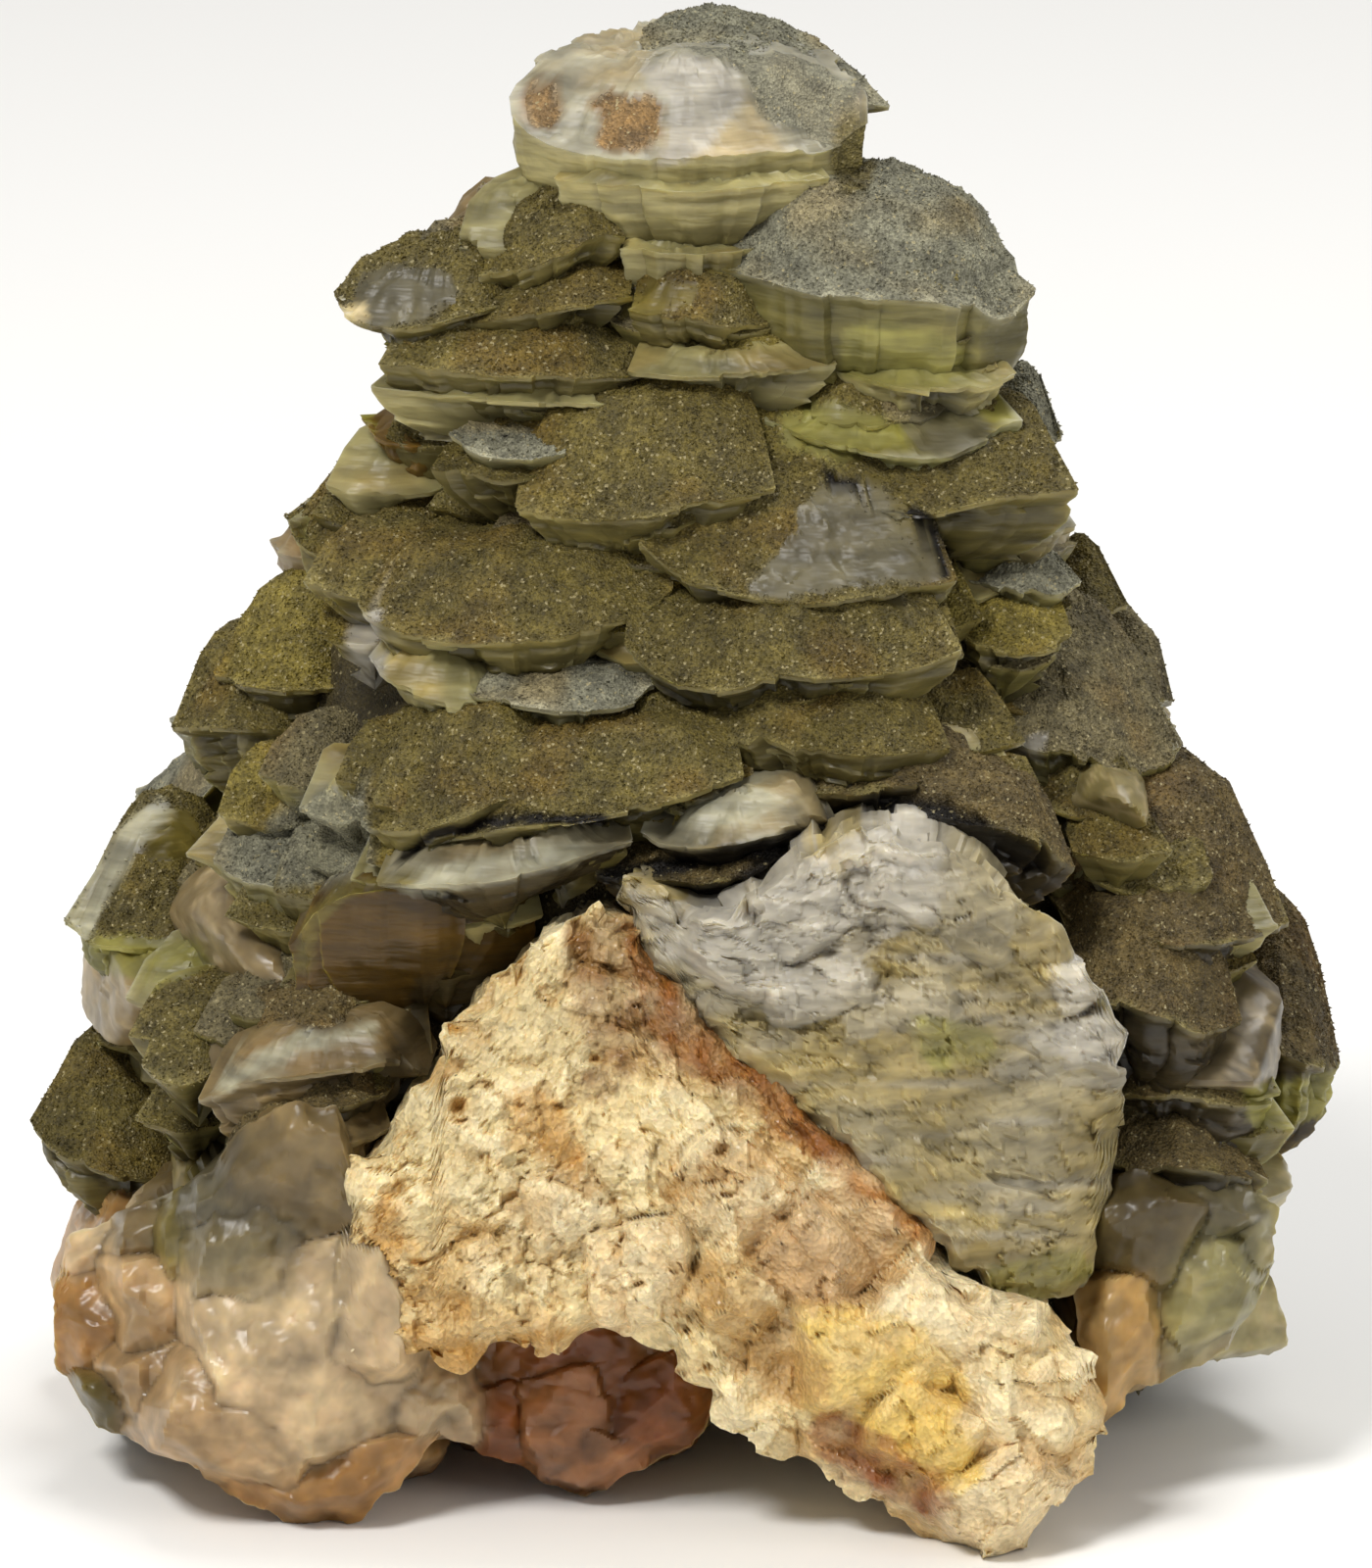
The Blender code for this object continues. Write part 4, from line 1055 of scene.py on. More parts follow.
def add_plate(surface, lip, rise, drop, tone, seed, step=LIP_STEP, reach=None, straight=0.0,
              cove=USUAL_COVE, layered=1.0, free=False):
    """One plate: a top that climbs behind the lip, a layered side that curves in under it, and a back.

    The step is the width of a mesh face and the reach is how far back the plate goes. A straight plate
    reaches straight back, and any other one toward the axis of the trunk.
    """
    lip = resample(round_corners(lip, 1), step)
    middle = lip.mean(axis=0)
    inward = flatten(TRUNK_AXIS - middle)
    behind = flatten(inward * (1.0 - straight) + np.array((0.0, 1.0, 0.0)) * straight)
    if reach is None:
        reach = max(REACH * np.linalg.norm(lip[-1] - lip[0]), 8.0)
    top = Top(lip, behind, rise, seed)
    edge, shown = plate_edge(lip, behind, reach, free)
    heart = middle + behind * reach * 0.45
    outward = (edge - heart) * np.array((1.0, 1.0, 0.0))
    outward /= np.linalg.norm(outward, axis=1)[:, None]
    chips, _ = facets(edge, 2.4, seed + 4, 1.0)
    wave = 0.35 * noise(edge, 4.0, seed) + 0.5 * chips + 0.14 * noise(edge, 0.7, seed + 6)
    edge = edge + outward * (wave * shown)[:, None]
    edge[:, 2] = top.height(edge)
    style = TONES[tone]
    tops, top_tints = plate_top(top, edge, shown, heart, style, step, seed)
    sides, side_tints = plate_side(edge, outward, shown, drop, cove, layered, style, step, seed)
    foot = heart - np.array((0.0, 0.0, (drop + cove) * 1.1))
    shares = np.array((0.12, 0.3, 0.65))
    lasts = sides[-1] + (foot - sides[-1]) * shares[:, None, None]
    # The rings under the side darken toward the foot: painted shade under the plate.
    underside_shade_tints = screen_colour(style.side) * np.repeat(0.8 - 0.5 * shares, len(edge))[:, None]
    peak = heart.copy()
    peak[2] = top.height(heart[None])[0]
    rings = np.concatenate([tops, sides, lasts])
    np.maximum(rings[:, :, 2], LOWEST, out=rings[:, :, 2])
    foot[2] = max(foot[2], LOWEST)
    tints = np.concatenate([top_tints[:1], top_tints, side_tints, underside_shade_tints, underside_shade_tints[-1:]])
    cover = np.zeros(len(tints))
    cover[:len(top_tints) + 1] = 1.0 if style.coated else 0.0
    surface.add_rings(list(rings), peak, foot, tints, cover)


def lip_points(plate):
    """The lip of a plate in space: its ends curl back from the middle."""
    start, end = plate.lip[0][0], plate.lip[-1][0]
    points = []
    for across, up in plate.lip:
        side = 2.0 * (across - start) / (end - start) - 1.0
        points.append(seen(across, up, plate.out - plate.curl * side * side))
    return np.array(points)


def front_out(across, up):
    """How far out the front stands at a place, judged from the lips around it."""
    total, weight = 0.0, 0.0
    for plate in ALL_PLATES:
        start, end = plate.lip[0][0], plate.lip[-1][0]
        for place, height in plate.lip:
            side = 2.0 * (place - start) / (end - start) - 1.0
            share = 1.0 / ((place - across) ** 2 + 1.6 * (height - up) ** 2 + 1.0) ** 2
            total += share * (plate.out - plate.curl * side * side)
            weight += share
    return total / weight


def in_open_front(across, up):
    """Whether a place lies where the filling and the corner plates leave the front open."""
    return any(inside(np.array([across]), np.array([up]), outline)[0] for outline in OPEN_FRONTS)


def add_filling(surface):
    """Small plates that close the gaps between the large ones, set a little behind them."""
    chance = np.random.default_rng(23)
    for level in range(FILLING_ROWS):
        up = FILLING_START + FILLING_RISE * level
        left = np.interp(up, FRONT_HEIGHTS, FRONT_LEFT)
        right = np.interp(up, FRONT_HEIGHTS, FRONT_RIGHT)
        count = max(int((right - left) / FILLING_SPACING), 2)
        for number in range(count):
            across = left + (right - left) * (number + 0.5 + chance.uniform(-0.3, 0.3)) / count
            height = up + chance.uniform(-1.0, 1.0)
            half = chance.uniform(3.2, 5.0)
            tone = chance.choice(("olive", "olive", "olive", "pale", "grey", "gold"))
            in_neck = up > 90 and abs(across) < 11
            if in_neck:
                tone = "pale"
            if in_open_front(across, height):
                continue
            out = front_out(across, height) - chance.uniform(1.2, 2.4) - NECK_DEPTH * in_neck
            bend = chance.uniform(0.6, 1.6)
            lip = []
            for part in np.linspace(-1.0, 1.0, 5):
                curl = 1.6 * part * part
                lip.append(seen(across + half * part, height + bend * part * part, out - curl))
            layered = SMOOTH_LAYERS if in_neck else 1.0
            add_plate(surface, np.array(lip), rise=4.5, drop=1.6, tone=tone,
                      seed=900 + 40 * level + number, step=SMALL_STEP, reach=6.0, straight=0.6,
                      layered=layered)


def add_front_plate(surface, plate, seed):
    """A plate from the tables of the front."""
    cove = COVES.get(plate.name, USUAL_COVE)
    layered = SMOOTH_LAYERS if plate.name in SMOOTH_SIDES else 1.0
    add_plate(surface, lip_points(plate), plate.rise, plate.drop, plate.tone, seed,
              straight=0.6, cove=cove, layered=layered, free=plate.name in FREE_PLATES)


def add_corners(surface):
    """Plates that close the corners between the front and the sides."""
    chance = np.random.default_rng(29)
    for level in range(CORNER_ROWS):
        up = CORNER_START + CORNER_RISE * level
        reach_out = front_out(0.0, up) - 5.0
        for side, limits in ((-1.0, FRONT_LEFT), (1.0, FRONT_RIGHT)):
            half_width = abs(np.interp(up, FRONT_HEIGHTS, limits)) - 3.6
            for degrees in CORNER_ANGLES:
                middle = math.radians(degrees + chance.uniform(-4.0, 4.0))
                height = up + chance.uniform(-1.2, 1.2)
                tone = chance.choice(("olive", "olive", "grey", "brown", "gold"))
                lip = []
                for part in np.linspace(-1.0, 1.0, 6):
                    turn = middle + side * 0.24 * part
                    across = side * half_width * math.sin(turn) ** 0.8
                    out = reach_out * max(math.cos(turn), 0.0) ** 0.8
                    lip.append(seen(across, height, out - 1.2 * part * part))
                if in_open_front(lip[2][0], height):
                    continue
                add_plate(surface, np.array(lip), rise=5.0, drop=2.4, tone=tone,
                          seed=2200 + 9 * level + int(degrees), step=SMALL_STEP, reach=6.0)


def add_side_rows(surface, first, last):
    """Rows of plates around the sides and the back, each a little different."""
    chance = np.random.default_rng(11)
    sweep = 2.0 * (math.pi - SIDE_START)
    for level, row in enumerate(SIDE_ROWS):
        for place in range(row.count):
            share = (place + 0.5 + chance.uniform(-0.2, 0.2) + 0.5 * (level % 2)) / (row.count + 0.5)
            size = chance.uniform(0.92, 1.03)
            half = 0.5 * sweep / row.count * chance.uniform(1.0, 1.4)
            z = row.z + chance.uniform(-1.8, 1.8)
            tilt = chance.uniform(-1.0, 1.0)
            tone = chance.choice(("olive", "olive", "olive", "grey", "silver", "brown", "smoky", "gold"))
            if not first <= share < last:
                continue
            lip = []
            for part in np.linspace(-1.0, 1.0, 6):
                turn = SIDE_START + sweep * share + half * part
                bulge = size * (1.0 - 0.12 * part * part)
                x = -row.half_width * math.sin(turn) * bulge
                y = MIDDLE_OUT - row.back * math.cos(turn) * bulge
                lip.append((x, y, z + tilt * part))
            lip = np.array(lip)
            if lip[0] @ np.array((-lip[-1][1], lip[-1][0], 0.0)) > 0:
                lip = lip[::-1]
            add_plate(surface, lip, rise=6.0, drop=row.drop, tone=tone, seed=500 + 31 * level + place,
                      step=SMALL_STEP)


# -------------------------------- lumps and the trunk

# How many rings of points a lump has, and how many points a ring.
LUMP_RINGS = 40
LUMP_POINTS = 64
# The same for the trunk, and how far in from its rim each ring of its underside lies.
TRUNK_RINGS = 170
TRUNK_POINTS = 200
UNDER_SHARES = (0.1, 0.2, 0.3, 0.4, 0.5, 0.6, 0.7, 0.8, 0.9)


def add_crystal(surface, middle, size, turn, colour, seed):
    """A blocky crystal: a ball cut by the faces of a leaning block and by a few faces at its corners."""
    chance = np.random.default_rng(seed)
    tilt = np.linspace(0.0, math.pi, LUMP_RINGS + 2)[1:-1]
    around = np.linspace(0.0, math.tau, LUMP_POINTS, endpoint=False)
    grid_tilt, grid_around = np.meshgrid(tilt, around, indexing="ij")
    aim = np.stack([
        np.sin(grid_tilt) * np.cos(grid_around),
        np.sin(grid_tilt) * np.sin(grid_around),
        np.cos(grid_tilt),
    ], axis=-1).reshape(-1, 3)
    aim = np.concatenate([[(0.0, 0.0, 1.0)], aim, [(0.0, 0.0, -1.0)]])
    block = np.concatenate([np.eye(3), -np.eye(3)]) + 0.3 * chance.normal(size=(6, 3))
    corners = chance.normal(size=(7, 3))
    sides = np.concatenate([block, corners])
    sides /= np.linalg.norm(sides, axis=1)[:, None]
    reach = np.concatenate([chance.uniform(0.38, 0.46, 6), chance.uniform(0.48, 0.54, 7)])
    facing = np.maximum(aim @ sides.T, 1e-3) / reach
    radius = np.minimum(1.0 / (facing ** 30).sum(axis=1) ** (1 / 30), 0.62)
    ball = aim * radius[:, None] * size
    points = ball + middle
    points[:, 0] = middle[0] + ball[:, 0] * math.cos(turn) - ball[:, 1] * math.sin(turn)
    points[:, 1] = middle[1] + ball[:, 0] * math.sin(turn) + ball[:, 1] * math.cos(turn)
    chips, edge = facets(points + 0.4 * rough(points, 2.0, 2, seed)[:, None], 2.6, seed + 8, 1.0)
    points += aim * (0.22 * chips + 0.12 * rough(points, 1.6, 3, seed))[:, None]
    np.maximum(points[:, 2], LOWEST, out=points[:, 2])
    tint = colour * (1.0 + 0.14 * rough(points, 4.0, 3, seed + 2))[:, None]
    # Lighter along the edges of the facets, a painted highlight, over a tint a little paler all over.
    tint = blend(tint, screen_colour("quartz_pale"), 0.25 * soft_step(0.2, 0.0, edge) + 0.1)
    rings = points[1:-1].reshape(LUMP_RINGS, LUMP_POINTS, 3)
    surface.add_rings(list(rings), points[0], points[-1], tint, np.zeros(len(points)))


def add_lump(surface, spec, seed):
    """A lump from the table, which stands behind the middle of its front."""
    size = np.array((spec.wide, spec.deep, spec.high), float)
    middle = seen(spec.across, spec.up, spec.out) + np.array((0.0, spec.deep / 2, 0.0))
    add_crystal(surface, middle, size, math.radians(spec.turn), screen_colour(spec.colour), seed)


def add_trunk(surface):
    """The buried trunk and the uneven underside of the whole, which stands just clear of the floor."""
    around = np.linspace(0.0, math.tau, TRUNK_POINTS, endpoint=False)
    heights = np.array([section.z for section in TRUNK], float)
    rings = []
    for z in np.linspace(heights[-1], 0.3, TRUNK_RINGS):
        half = np.interp(z, heights, [section.half_width for section in TRUNK])
        front = np.interp(z, heights, [section.front for section in TRUNK])
        back = np.interp(z, heights, [section.back for section in TRUNK])
        ring = np.stack([
            half * np.cos(around),
            MIDDLE_OUT - (front + back) / 2 + (front - back) / 2 * np.sin(around),
            np.full(TRUNK_POINTS, z),
        ], axis=1)
        streak, _ = facets(ring * np.array((0.5, 0.5, 1.6)), 3.0, 3, 1.0)
        ring[:, :2] *= (1.0 + 0.03 * rough(ring, 6.0, 3, 3) + 0.012 * streak - 0.02)[:, None]
        rings.append(ring)
    centre = np.array((0.0, MIDDLE_OUT + 12.0, 0.3))
    rim = rings[-1]
    for share in UNDER_SHARES:
        ring = rim + (centre - rim) * share
        hollow, _ = facets(ring, 4.0, 12, 1.0)
        ring[:, 2] = 0.9 + 0.5 * rough(ring, 5.0, 3, 8) + 0.4 * hollow
        np.maximum(ring[:, 2], LOWEST, out=ring[:, 2])
        rings.append(ring)
    top = np.array((0.0, MIDDLE_OUT, heights[-1] + 1.0))
    points = np.concatenate([[top]] + rings + [[centre]])
    # The trunk is painted a dark olive so that the gaps which show it read as shade: painted shade.
    tint = screen_colour("olive_in_shade") * (0.9 + 0.3 * rough(points, 4.0, 3, 5))[:, None]
    under = soft_step(6.0, 1.0, points[:, 2])
    tint = blend(tint, screen_colour("peach_deep"), 0.8 * under)
    surface.add_rings(rings, top, centre, tint, np.ones(len(points)))


# -------------------------------- the quartz and the cleaved crystal

# The width of a mesh face on the broken front.
FACE_STEP = 0.24
# How far back each ring of a block's sides stands, as a share of the block's depth.
SIDE_SHARES = (0.02, 0.05, 0.09, 0.14, 0.2, 0.27, 0.35, 0.44, 0.54, 0.65, 0.76, 0.88, 1.0)
# How many times the rim of a block is smoothed on its way back.
SMOOTH_ROUNDS = 12
# How far out the fronts of the two blocks stand, and how far out their backs.
QUARTZ_OUT = 40.0
QUARTZ_BACK = 16.0
CLEAVED_OUT = 41.0
CLEAVED_BACK = 22.0
# How deep the pits of the quartz are.
PIT_DEPTH = 1.2
# How thick the sheets of the cleaved crystal are, and the fine sheets in them.
SHEET_THICKNESS = 1.3
FINE_SHEET_THICKNESS = 0.45


def unit_rows(directions):
    """Each direction, one long."""
    return directions / np.maximum(np.linalg.norm(directions, axis=1), 1e-6)[:, None]


class Face:
    """A grid over a region given by its lower and its upper outline, as seen from in front."""

    def __init__(self, lower, upper):
        lower, upper = np.array(lower, float), np.array(upper, float)
        start, end = max(lower[0, 0], upper[0, 0]), min(lower[-1, 0], upper[-1, 0])
        self.columns = int((end - start) / FACE_STEP) + 1
        places = np.linspace(start, end, self.columns)
        low = np.interp(places, lower[:, 0], lower[:, 1])
        high = np.interp(places, upper[:, 0], upper[:, 1])
        self.rows = int((high - low).max() / FACE_STEP) + 1
        share = np.linspace(0.0, 1.0, self.rows)[:, None]
        up = low + (high - low) * share
        across = np.repeat(places[None], self.rows, axis=0)
        side = np.minimum(across - start, end - across)
        self.edge = np.maximum(np.minimum(np.minimum(up - low, high - up), side), 0.0).ravel()
        self.across, self.up = across.ravel(), up.ravel()
        self.flat = np.stack([self.across, np.zeros_like(self.across), self.up], axis=1)

    def fray(self, amount, seed):
        """Moves the outline in and out a little, so that it looks broken."""
        near = 1.0 - soft_step(0.0, 2.5, self.edge)
        self.across = self.across + amount * near * rough(self.flat, 2.0, 3, seed)
        self.up = self.up + amount * near * rough(self.flat, 2.0, 3, seed + 9)

    def add_to(self, surface, out, back, colours, coats):
        """A closed solid behind the face: its rim runs back to a depth and is closed there."""
        z = (self.up + (out - FOOT_OUT) * math.sin(LOOK_DOWN)) / math.cos(LOOK_DOWN)
        front = np.stack([self.across, MIDDLE_OUT - out, np.maximum(z, LOWEST)], axis=-1)
        number = np.arange(self.rows * self.columns).reshape(self.rows, self.columns)
        corners = [number[:-1, :-1], number[:-1, 1:], number[1:, 1:], number[1:, :-1]]
        quads = [np.stack(corners, axis=-1).reshape(-1, 4)]
        rim = np.concatenate([number[0, :], number[1:, -1], number[-1, -2::-1], number[-2:0:-1, 0]])
        points, shades, covers = [front], [colours], [coats]
        previous, offset, size = rim, len(front), len(rim)
        smooth = front[rim].copy()
        for _ in range(SMOOTH_ROUNDS):
            smooth = 0.5 * smooth + 0.25 * (np.roll(smooth, 3, axis=0) + np.roll(smooth, -3, axis=0))
        centre = smooth.mean(axis=0)
        outward = unit_rows((smooth - centre) * np.array((1.0, 0.0, 1.0)))
        for share in SIDE_SHARES:
            ring = front[rim] + (smooth - front[rim]) * soft_step(0.0, 0.09, share)
            ring[:, 1] += (MIDDLE_OUT - back - ring[:, 1]) * share
            ring[:, 0] += (centre[0] - ring[:, 0]) * 0.12 * share
            facet, _ = facets(ring, 3.4, 19)
            relief = 0.9 * facet + 0.5 * rough(ring, 4.0, 3, 17) - 0.8
            ring += outward * (relief * soft_step(0.0, 0.15, share))[:, None]
            np.maximum(ring[:, 2], LOWEST, out=ring[:, 2])
            current = np.arange(offset, offset + size)
            offset += size
            after, before = np.roll(current, -1), np.roll(previous, -1)
            quads.append(np.stack([before, previous, current, after], axis=1))
            points.append(ring)
            # The sides darken the further back they reach: painted shade.
            shades.append(colours[rim] * (0.95 - 0.3 * share + 0.15 * facet)[:, None])
            covers.append(coats[rim])
            previous = current
        points.append(points[-1].mean(axis=0)[None])
        shades.append(colours[rim].mean(axis=0)[None])
        covers.append(np.zeros(1))
        cap = np.stack([np.roll(previous, -1), previous, np.full(size, offset)], axis=1)
        surface.add(np.concatenate(points), np.concatenate(quads), cap,
                    np.concatenate(shades), np.concatenate(covers))


def stain(colour, face, zones, wander, strength, size, seed):
    """Paints zones over a face, each with a ragged border and in lumps of a size."""
    for number, zone in enumerate(zones):
        share = zone_share(face.across, face.up, face.flat, zone.outline, wander, seed + 20 * number)
        share = strength * share * (0.85 + 0.3 * noise(face.flat, size, number))
        colour = blend(colour, screen_colour(zone.colour), share)
    return colour


def quartz_relief(flat, blocky):
    """How far the sugary core stands out of its ground, and how deep each point lies in a pit."""
    warp = flat + 0.8 * rough(flat, 3.0, 2, 4)[:, None]
    large, _ = facets(warp, 8.0, 40, 1.3)
    middle, _ = facets(warp, 3.0, 50, 1.2)
    small, _ = facets(flat + 0.3 * rough(flat, 1.0, 2, 6)[:, None], 1.2, 60, 1.2)
    sugar, _ = facets(flat, 0.6, 66, 1.0)
    chunks = blocks(warp * np.array((0.8, 1.0, 1.0)), 6.5, 45)
    relief = 0.7 * large + 2.2 * blocky * chunks + 0.6 * middle + (0.36 - 0.24 * blocky) * small
    relief += (0.2 - 0.12 * blocky) * sugar + 0.5 * rough(flat, 6.0, 3, 70)
    pits = soft_step(0.95, 1.35, rough(flat * np.array((1.0, 1.0, 1.6)), 3.2, 3, 77))
    pits = pits * (1.0 - 0.6 * blocky)
    relief -= PIT_DEPTH * pits
    return relief, pits


def add_quartz(surface):
    """The sugary core: blocky on the right and crumbly on the left, with pits and stains."""
    face = Face(QUARTZ_LOWER, QUARTZ_UPPER)
    face.fray(0.9, 3)
    flat, across, up = face.flat, face.across, face.up
    blocky = soft_step(2.0, 10.0, across - 0.35 * (up - 20.0))
    base = QUARTZ_OUT + 1.0 * soft_step(2, 20, across) - 1.6 * soft_step(30.0, 45.0, up)
    relief, pits = quartz_relief(flat, blocky)
    stand, shade, seam = crystals(flat, QUARTZ_CRYSTALS, base, screen_colour("cream"), 81)
    out = stand + 0.75 * relief - 2.0 * (1.0 - soft_step(0.0, 2.0, face.edge))
    colour = shade * (0.96 + 0.1 * rough(flat, 3.0, 3, 91))[:, None]
    pale = 0.8 * blocky * soft_step(-0.5, 0.6, noise(flat, 5.0, 92))
    colour = blend(colour, screen_colour("quartz_pale"), pale)
    colour = blend(colour, screen_colour("orange"), 0.5 * soft_step(0.0, 1.0, -relief) + 0.5 * pits)
    # Lighter on the raised grains: a painted highlight.
    colour = blend(colour, screen_colour("quartz_highlight"), 0.6 * soft_step(0.1, 0.9, relief))
    colour = blend(colour, screen_colour("orange"), 0.35 * soft_step(0.1, 0.9, rough(flat, 4.0, 3, 98)))
    colour = stain(colour, face, QUARTZ_ZONES, 0.9, 0.85, 1.2, 400)
    colour = blend(colour, screen_colour("orange"), 0.25 * (1.0 - seam))
    face.add_to(surface, out, QUARTZ_BACK, colour, np.ones(len(colour)))


def sheet_steps(level):
    """The steps of thick and of fine broken sheets, by how high each point lies across them."""
    sheet = level / SHEET_THICKNESS
    number = np.floor(sheet).astype(np.int64)
    zero = np.zeros_like(number)
    steps = 0.16 * corner_values(number, zero, zero, 5)[0] + 0.2 * (sheet - number)
    fine = level / FINE_SHEET_THICKNESS
    line = np.floor(fine).astype(np.int64)
    steps += 0.07 * corner_values(line, zero, zero, 8)[0] + 0.08 * (fine - line)
    return steps


def add_cleaved(surface):
    """The big broken calcite crystal: slanting sheets, a frosted top with blocky chips, and glints."""
    face = Face(CLEAVED_LOWER, CLEAVED_UPPER)
    face.fray(0.7, 13)
    flat, across, up = face.flat, face.across, face.up
    fall = np.where(across > 12, 0.026, 0.014) * (across - 12) ** 2
    level = up + 0.16 * across + 0.9 * rough(flat * np.array((0.5, 1, 1)), 7, 2, 14)
    steps = sheet_steps(level)
    broken = soft_step(33.0, 41.0, up + 3.0 * noise(flat, 5.0, 31) - 0.2 * across)
    slant = np.stack([across, np.zeros_like(across), level], axis=1)
    wide = slant * np.array((0.55, 1, 0.8)) + 0.6 * rough(flat, 2.5, 2, 21)[:, None]
    large, _ = facets(wide, 4.5, 22, 1.3)
    narrow = slant * np.array((0.4, 1, 1.2)) + 0.4 * rough(flat, 1.5, 2, 25)[:, None]
    small, _ = facets(narrow, 1.8, 24, 1.2)
    glints, _ = facets(slant + 0.2 * rough(flat, 0.8, 2, 35)[:, None], 0.9, 26, 1.2)
    relief = steps * (1.0 - 0.6 * broken) * (0.6 + 0.4 * noise(flat, 5.0, 27))
    relief = relief + 0.5 * large + 0.16 * glints
    chunks = blocks(slant * np.array((0.8, 1.0, 1.2)), 5.0, 27)
    chips = blocks(slant * np.array((0.7, 1.0, 1.3)), 2.4, 29)
    rugged = 1.8 * chunks + 0.8 * chips + 0.3 * small
    relief += broken * rugged + (1.0 - broken) * (0.8 * chunks + 0.2 * small)
    relief += 0.5 * rough(flat, 6.0, 3, 33)
    out = CLEAVED_OUT - fall + relief - 1.6 * (1.0 - soft_step(0.0, 1.5, face.edge))
    bands = 0.95 + 0.16 * noise(flat * np.array((0.3, 1, 2.5)), 2.0, 35)
    colour = screen_colour("cleavage") * bands[:, None]
    grey = 0.8 * soft_step(-0.4, 0.8, noise(flat, 6.0, 36))
    colour = blend(colour, screen_colour("cleavage_grey"), grey)
    streaks = noise(flat * np.array((0.3, 1.0, 2.0)), 1.8, 39)
    colour = blend(colour, screen_colour("white"), 0.4 * soft_step(0.1, 0.8, streaks))
    stand, shade, _ = crystals(flat, CLEAVED_CRYSTALS, out - 0.1, screen_colour("white"), 91)
    chip = soft_step(0.0, 0.3, stand - out)
    out = np.maximum(stand + 0.3 * small + 0.2 * glints, out)
    # The frost varies at random and is lighter on the glints: painted glints.
    frost = 0.9 + 0.22 * rough(slant * np.array((0.5, 1.0, 1.6)), 1.6, 3, 37) + 0.1 * glints
    colour = blend(colour, shade * frost[:, None], 0.75 * chip)
    colour = stain(colour, face, CLEAVED_ZONES, 0.6, 0.8, 1.5, 700)
    # Darker where the chunks sink in: painted shade in the hollows.
    colour *= (0.86 + 0.18 * soft_step(-0.5, 0.25, chunks))[:, None]
    face.add_to(surface, out, CLEAVED_BACK, colour, np.zeros(len(colour)))


def add_crystal_face(surface, spec):
    """Clear blocky crystals grown into each other, over a region seen from in front."""
    face = Face(spec.lower, spec.upper)
    face.fray(0.4, spec.seed)
    flat = face.flat
    turning = soft_step(spec.turn_start, spec.turn_end, face.across)
    ground = spec.out - spec.turn_depth * turning ** 1.4 + 0.8 * rough(flat, 5.0, 2, spec.seed + 3)
    height, shade, seam = crystals(flat, spec.crystals, ground, screen_colour(spec.colour), spec.seed)
    out = height + 0.45 * blocks(flat, 2.4, spec.seed + 7) + 0.08 * rough(flat, 0.8, 2, spec.seed + 4)
    out -= 1.8 * (1.0 - soft_step(0.0, 2.2, face.edge))
    colour = shade * (0.98 + 0.14 * rough(flat, 4.0, 3, spec.seed + 5))[:, None]
    # Pale patches on the lighter crystals: painted glints.
    pale = 0.35 * soft_step(0.0, 0.9, rough(flat, 3.0, 3, spec.seed + 6))
    pale = pale * soft_step(0.0, 0.4, shade[:, 1] - 0.1)
    colour = blend(colour, screen_colour("quartz_pale"), pale)
    # Darker along the seams between crystals: painted shade in the creases.
    colour *= (0.72 + 0.3 * seam)[:, None]
    face.add_to(surface, out, spec.back, colour, np.zeros(len(colour)))


# -------------------------------- materials

# How many crystals of druse and of quartz a metre holds, and the colour of a crystal that glints.
DRUSE_GRAIN = 5200.0
QUARTZ_GRAIN = 2600.0
GLINT_COLOUR = (0.4, 0.34, 0.18, 1.0)


def new_material(name):
    """A material with its nodes, its links and its shader."""
    material = bpy.data.materials.new(name)
    material.use_nodes = True
    nodes, links = material.node_tree.nodes, material.node_tree.links
    return material, nodes, links, nodes["Principled BSDF"]


def add_range(nodes, links, value, low, high, from_low=0.0, from_high=1.0):
    """A value spread from one range to another."""
    spread = nodes.new("ShaderNodeMapRange")
    spread.inputs["From Min"].default_value = from_low
    spread.inputs["From Max"].default_value = from_high
    spread.inputs["To Min"].default_value = low
    spread.inputs["To Max"].default_value = high
    links.new(value, spread.inputs["Value"])
    return spread.outputs["Result"]


def add_cells(nodes, links, place, scale):
    """Small cells, one for each crystal, with three random numbers for each."""
    cells = nodes.new("ShaderNodeTexVoronoi")
    cells.inputs["Scale"].default_value = scale
    links.new(place, cells.inputs["Vector"])
    parts = nodes.new("ShaderNodeSeparateColor")
    links.new(cells.outputs["Color"], parts.inputs["Color"])
    return cells, parts


def scale_colour(nodes, links, colour, amount):
    """A colour made lighter or darker by an amount."""
    vary = nodes.new("ShaderNodeVectorMath")
    vary.operation = "SCALE"
    links.new(colour, vary.inputs[0])
    links.new(amount, vary.inputs["Scale"])
    return vary.outputs["Vector"]


def add_tint(nodes, links, strength, scale):
    """The painted tint, varied a little by fine noise."""
    tint = nodes.new("ShaderNodeAttribute")
    tint.attribute_name = "tint"
    place = nodes.new("ShaderNodeTexCoord")
    grain = nodes.new("ShaderNodeTexNoise")
    grain.inputs["Scale"].default_value = scale
    grain.inputs["Detail"].default_value = 2.0
    links.new(place.outputs["Object"], grain.inputs["Vector"])
    share = add_range(nodes, links, grain.outputs["Fac"], 1.0 - strength, 1.0 + strength, 0.3, 0.7)
    return place.outputs["Object"], scale_colour(nodes, links, tint.outputs["Color"], share)


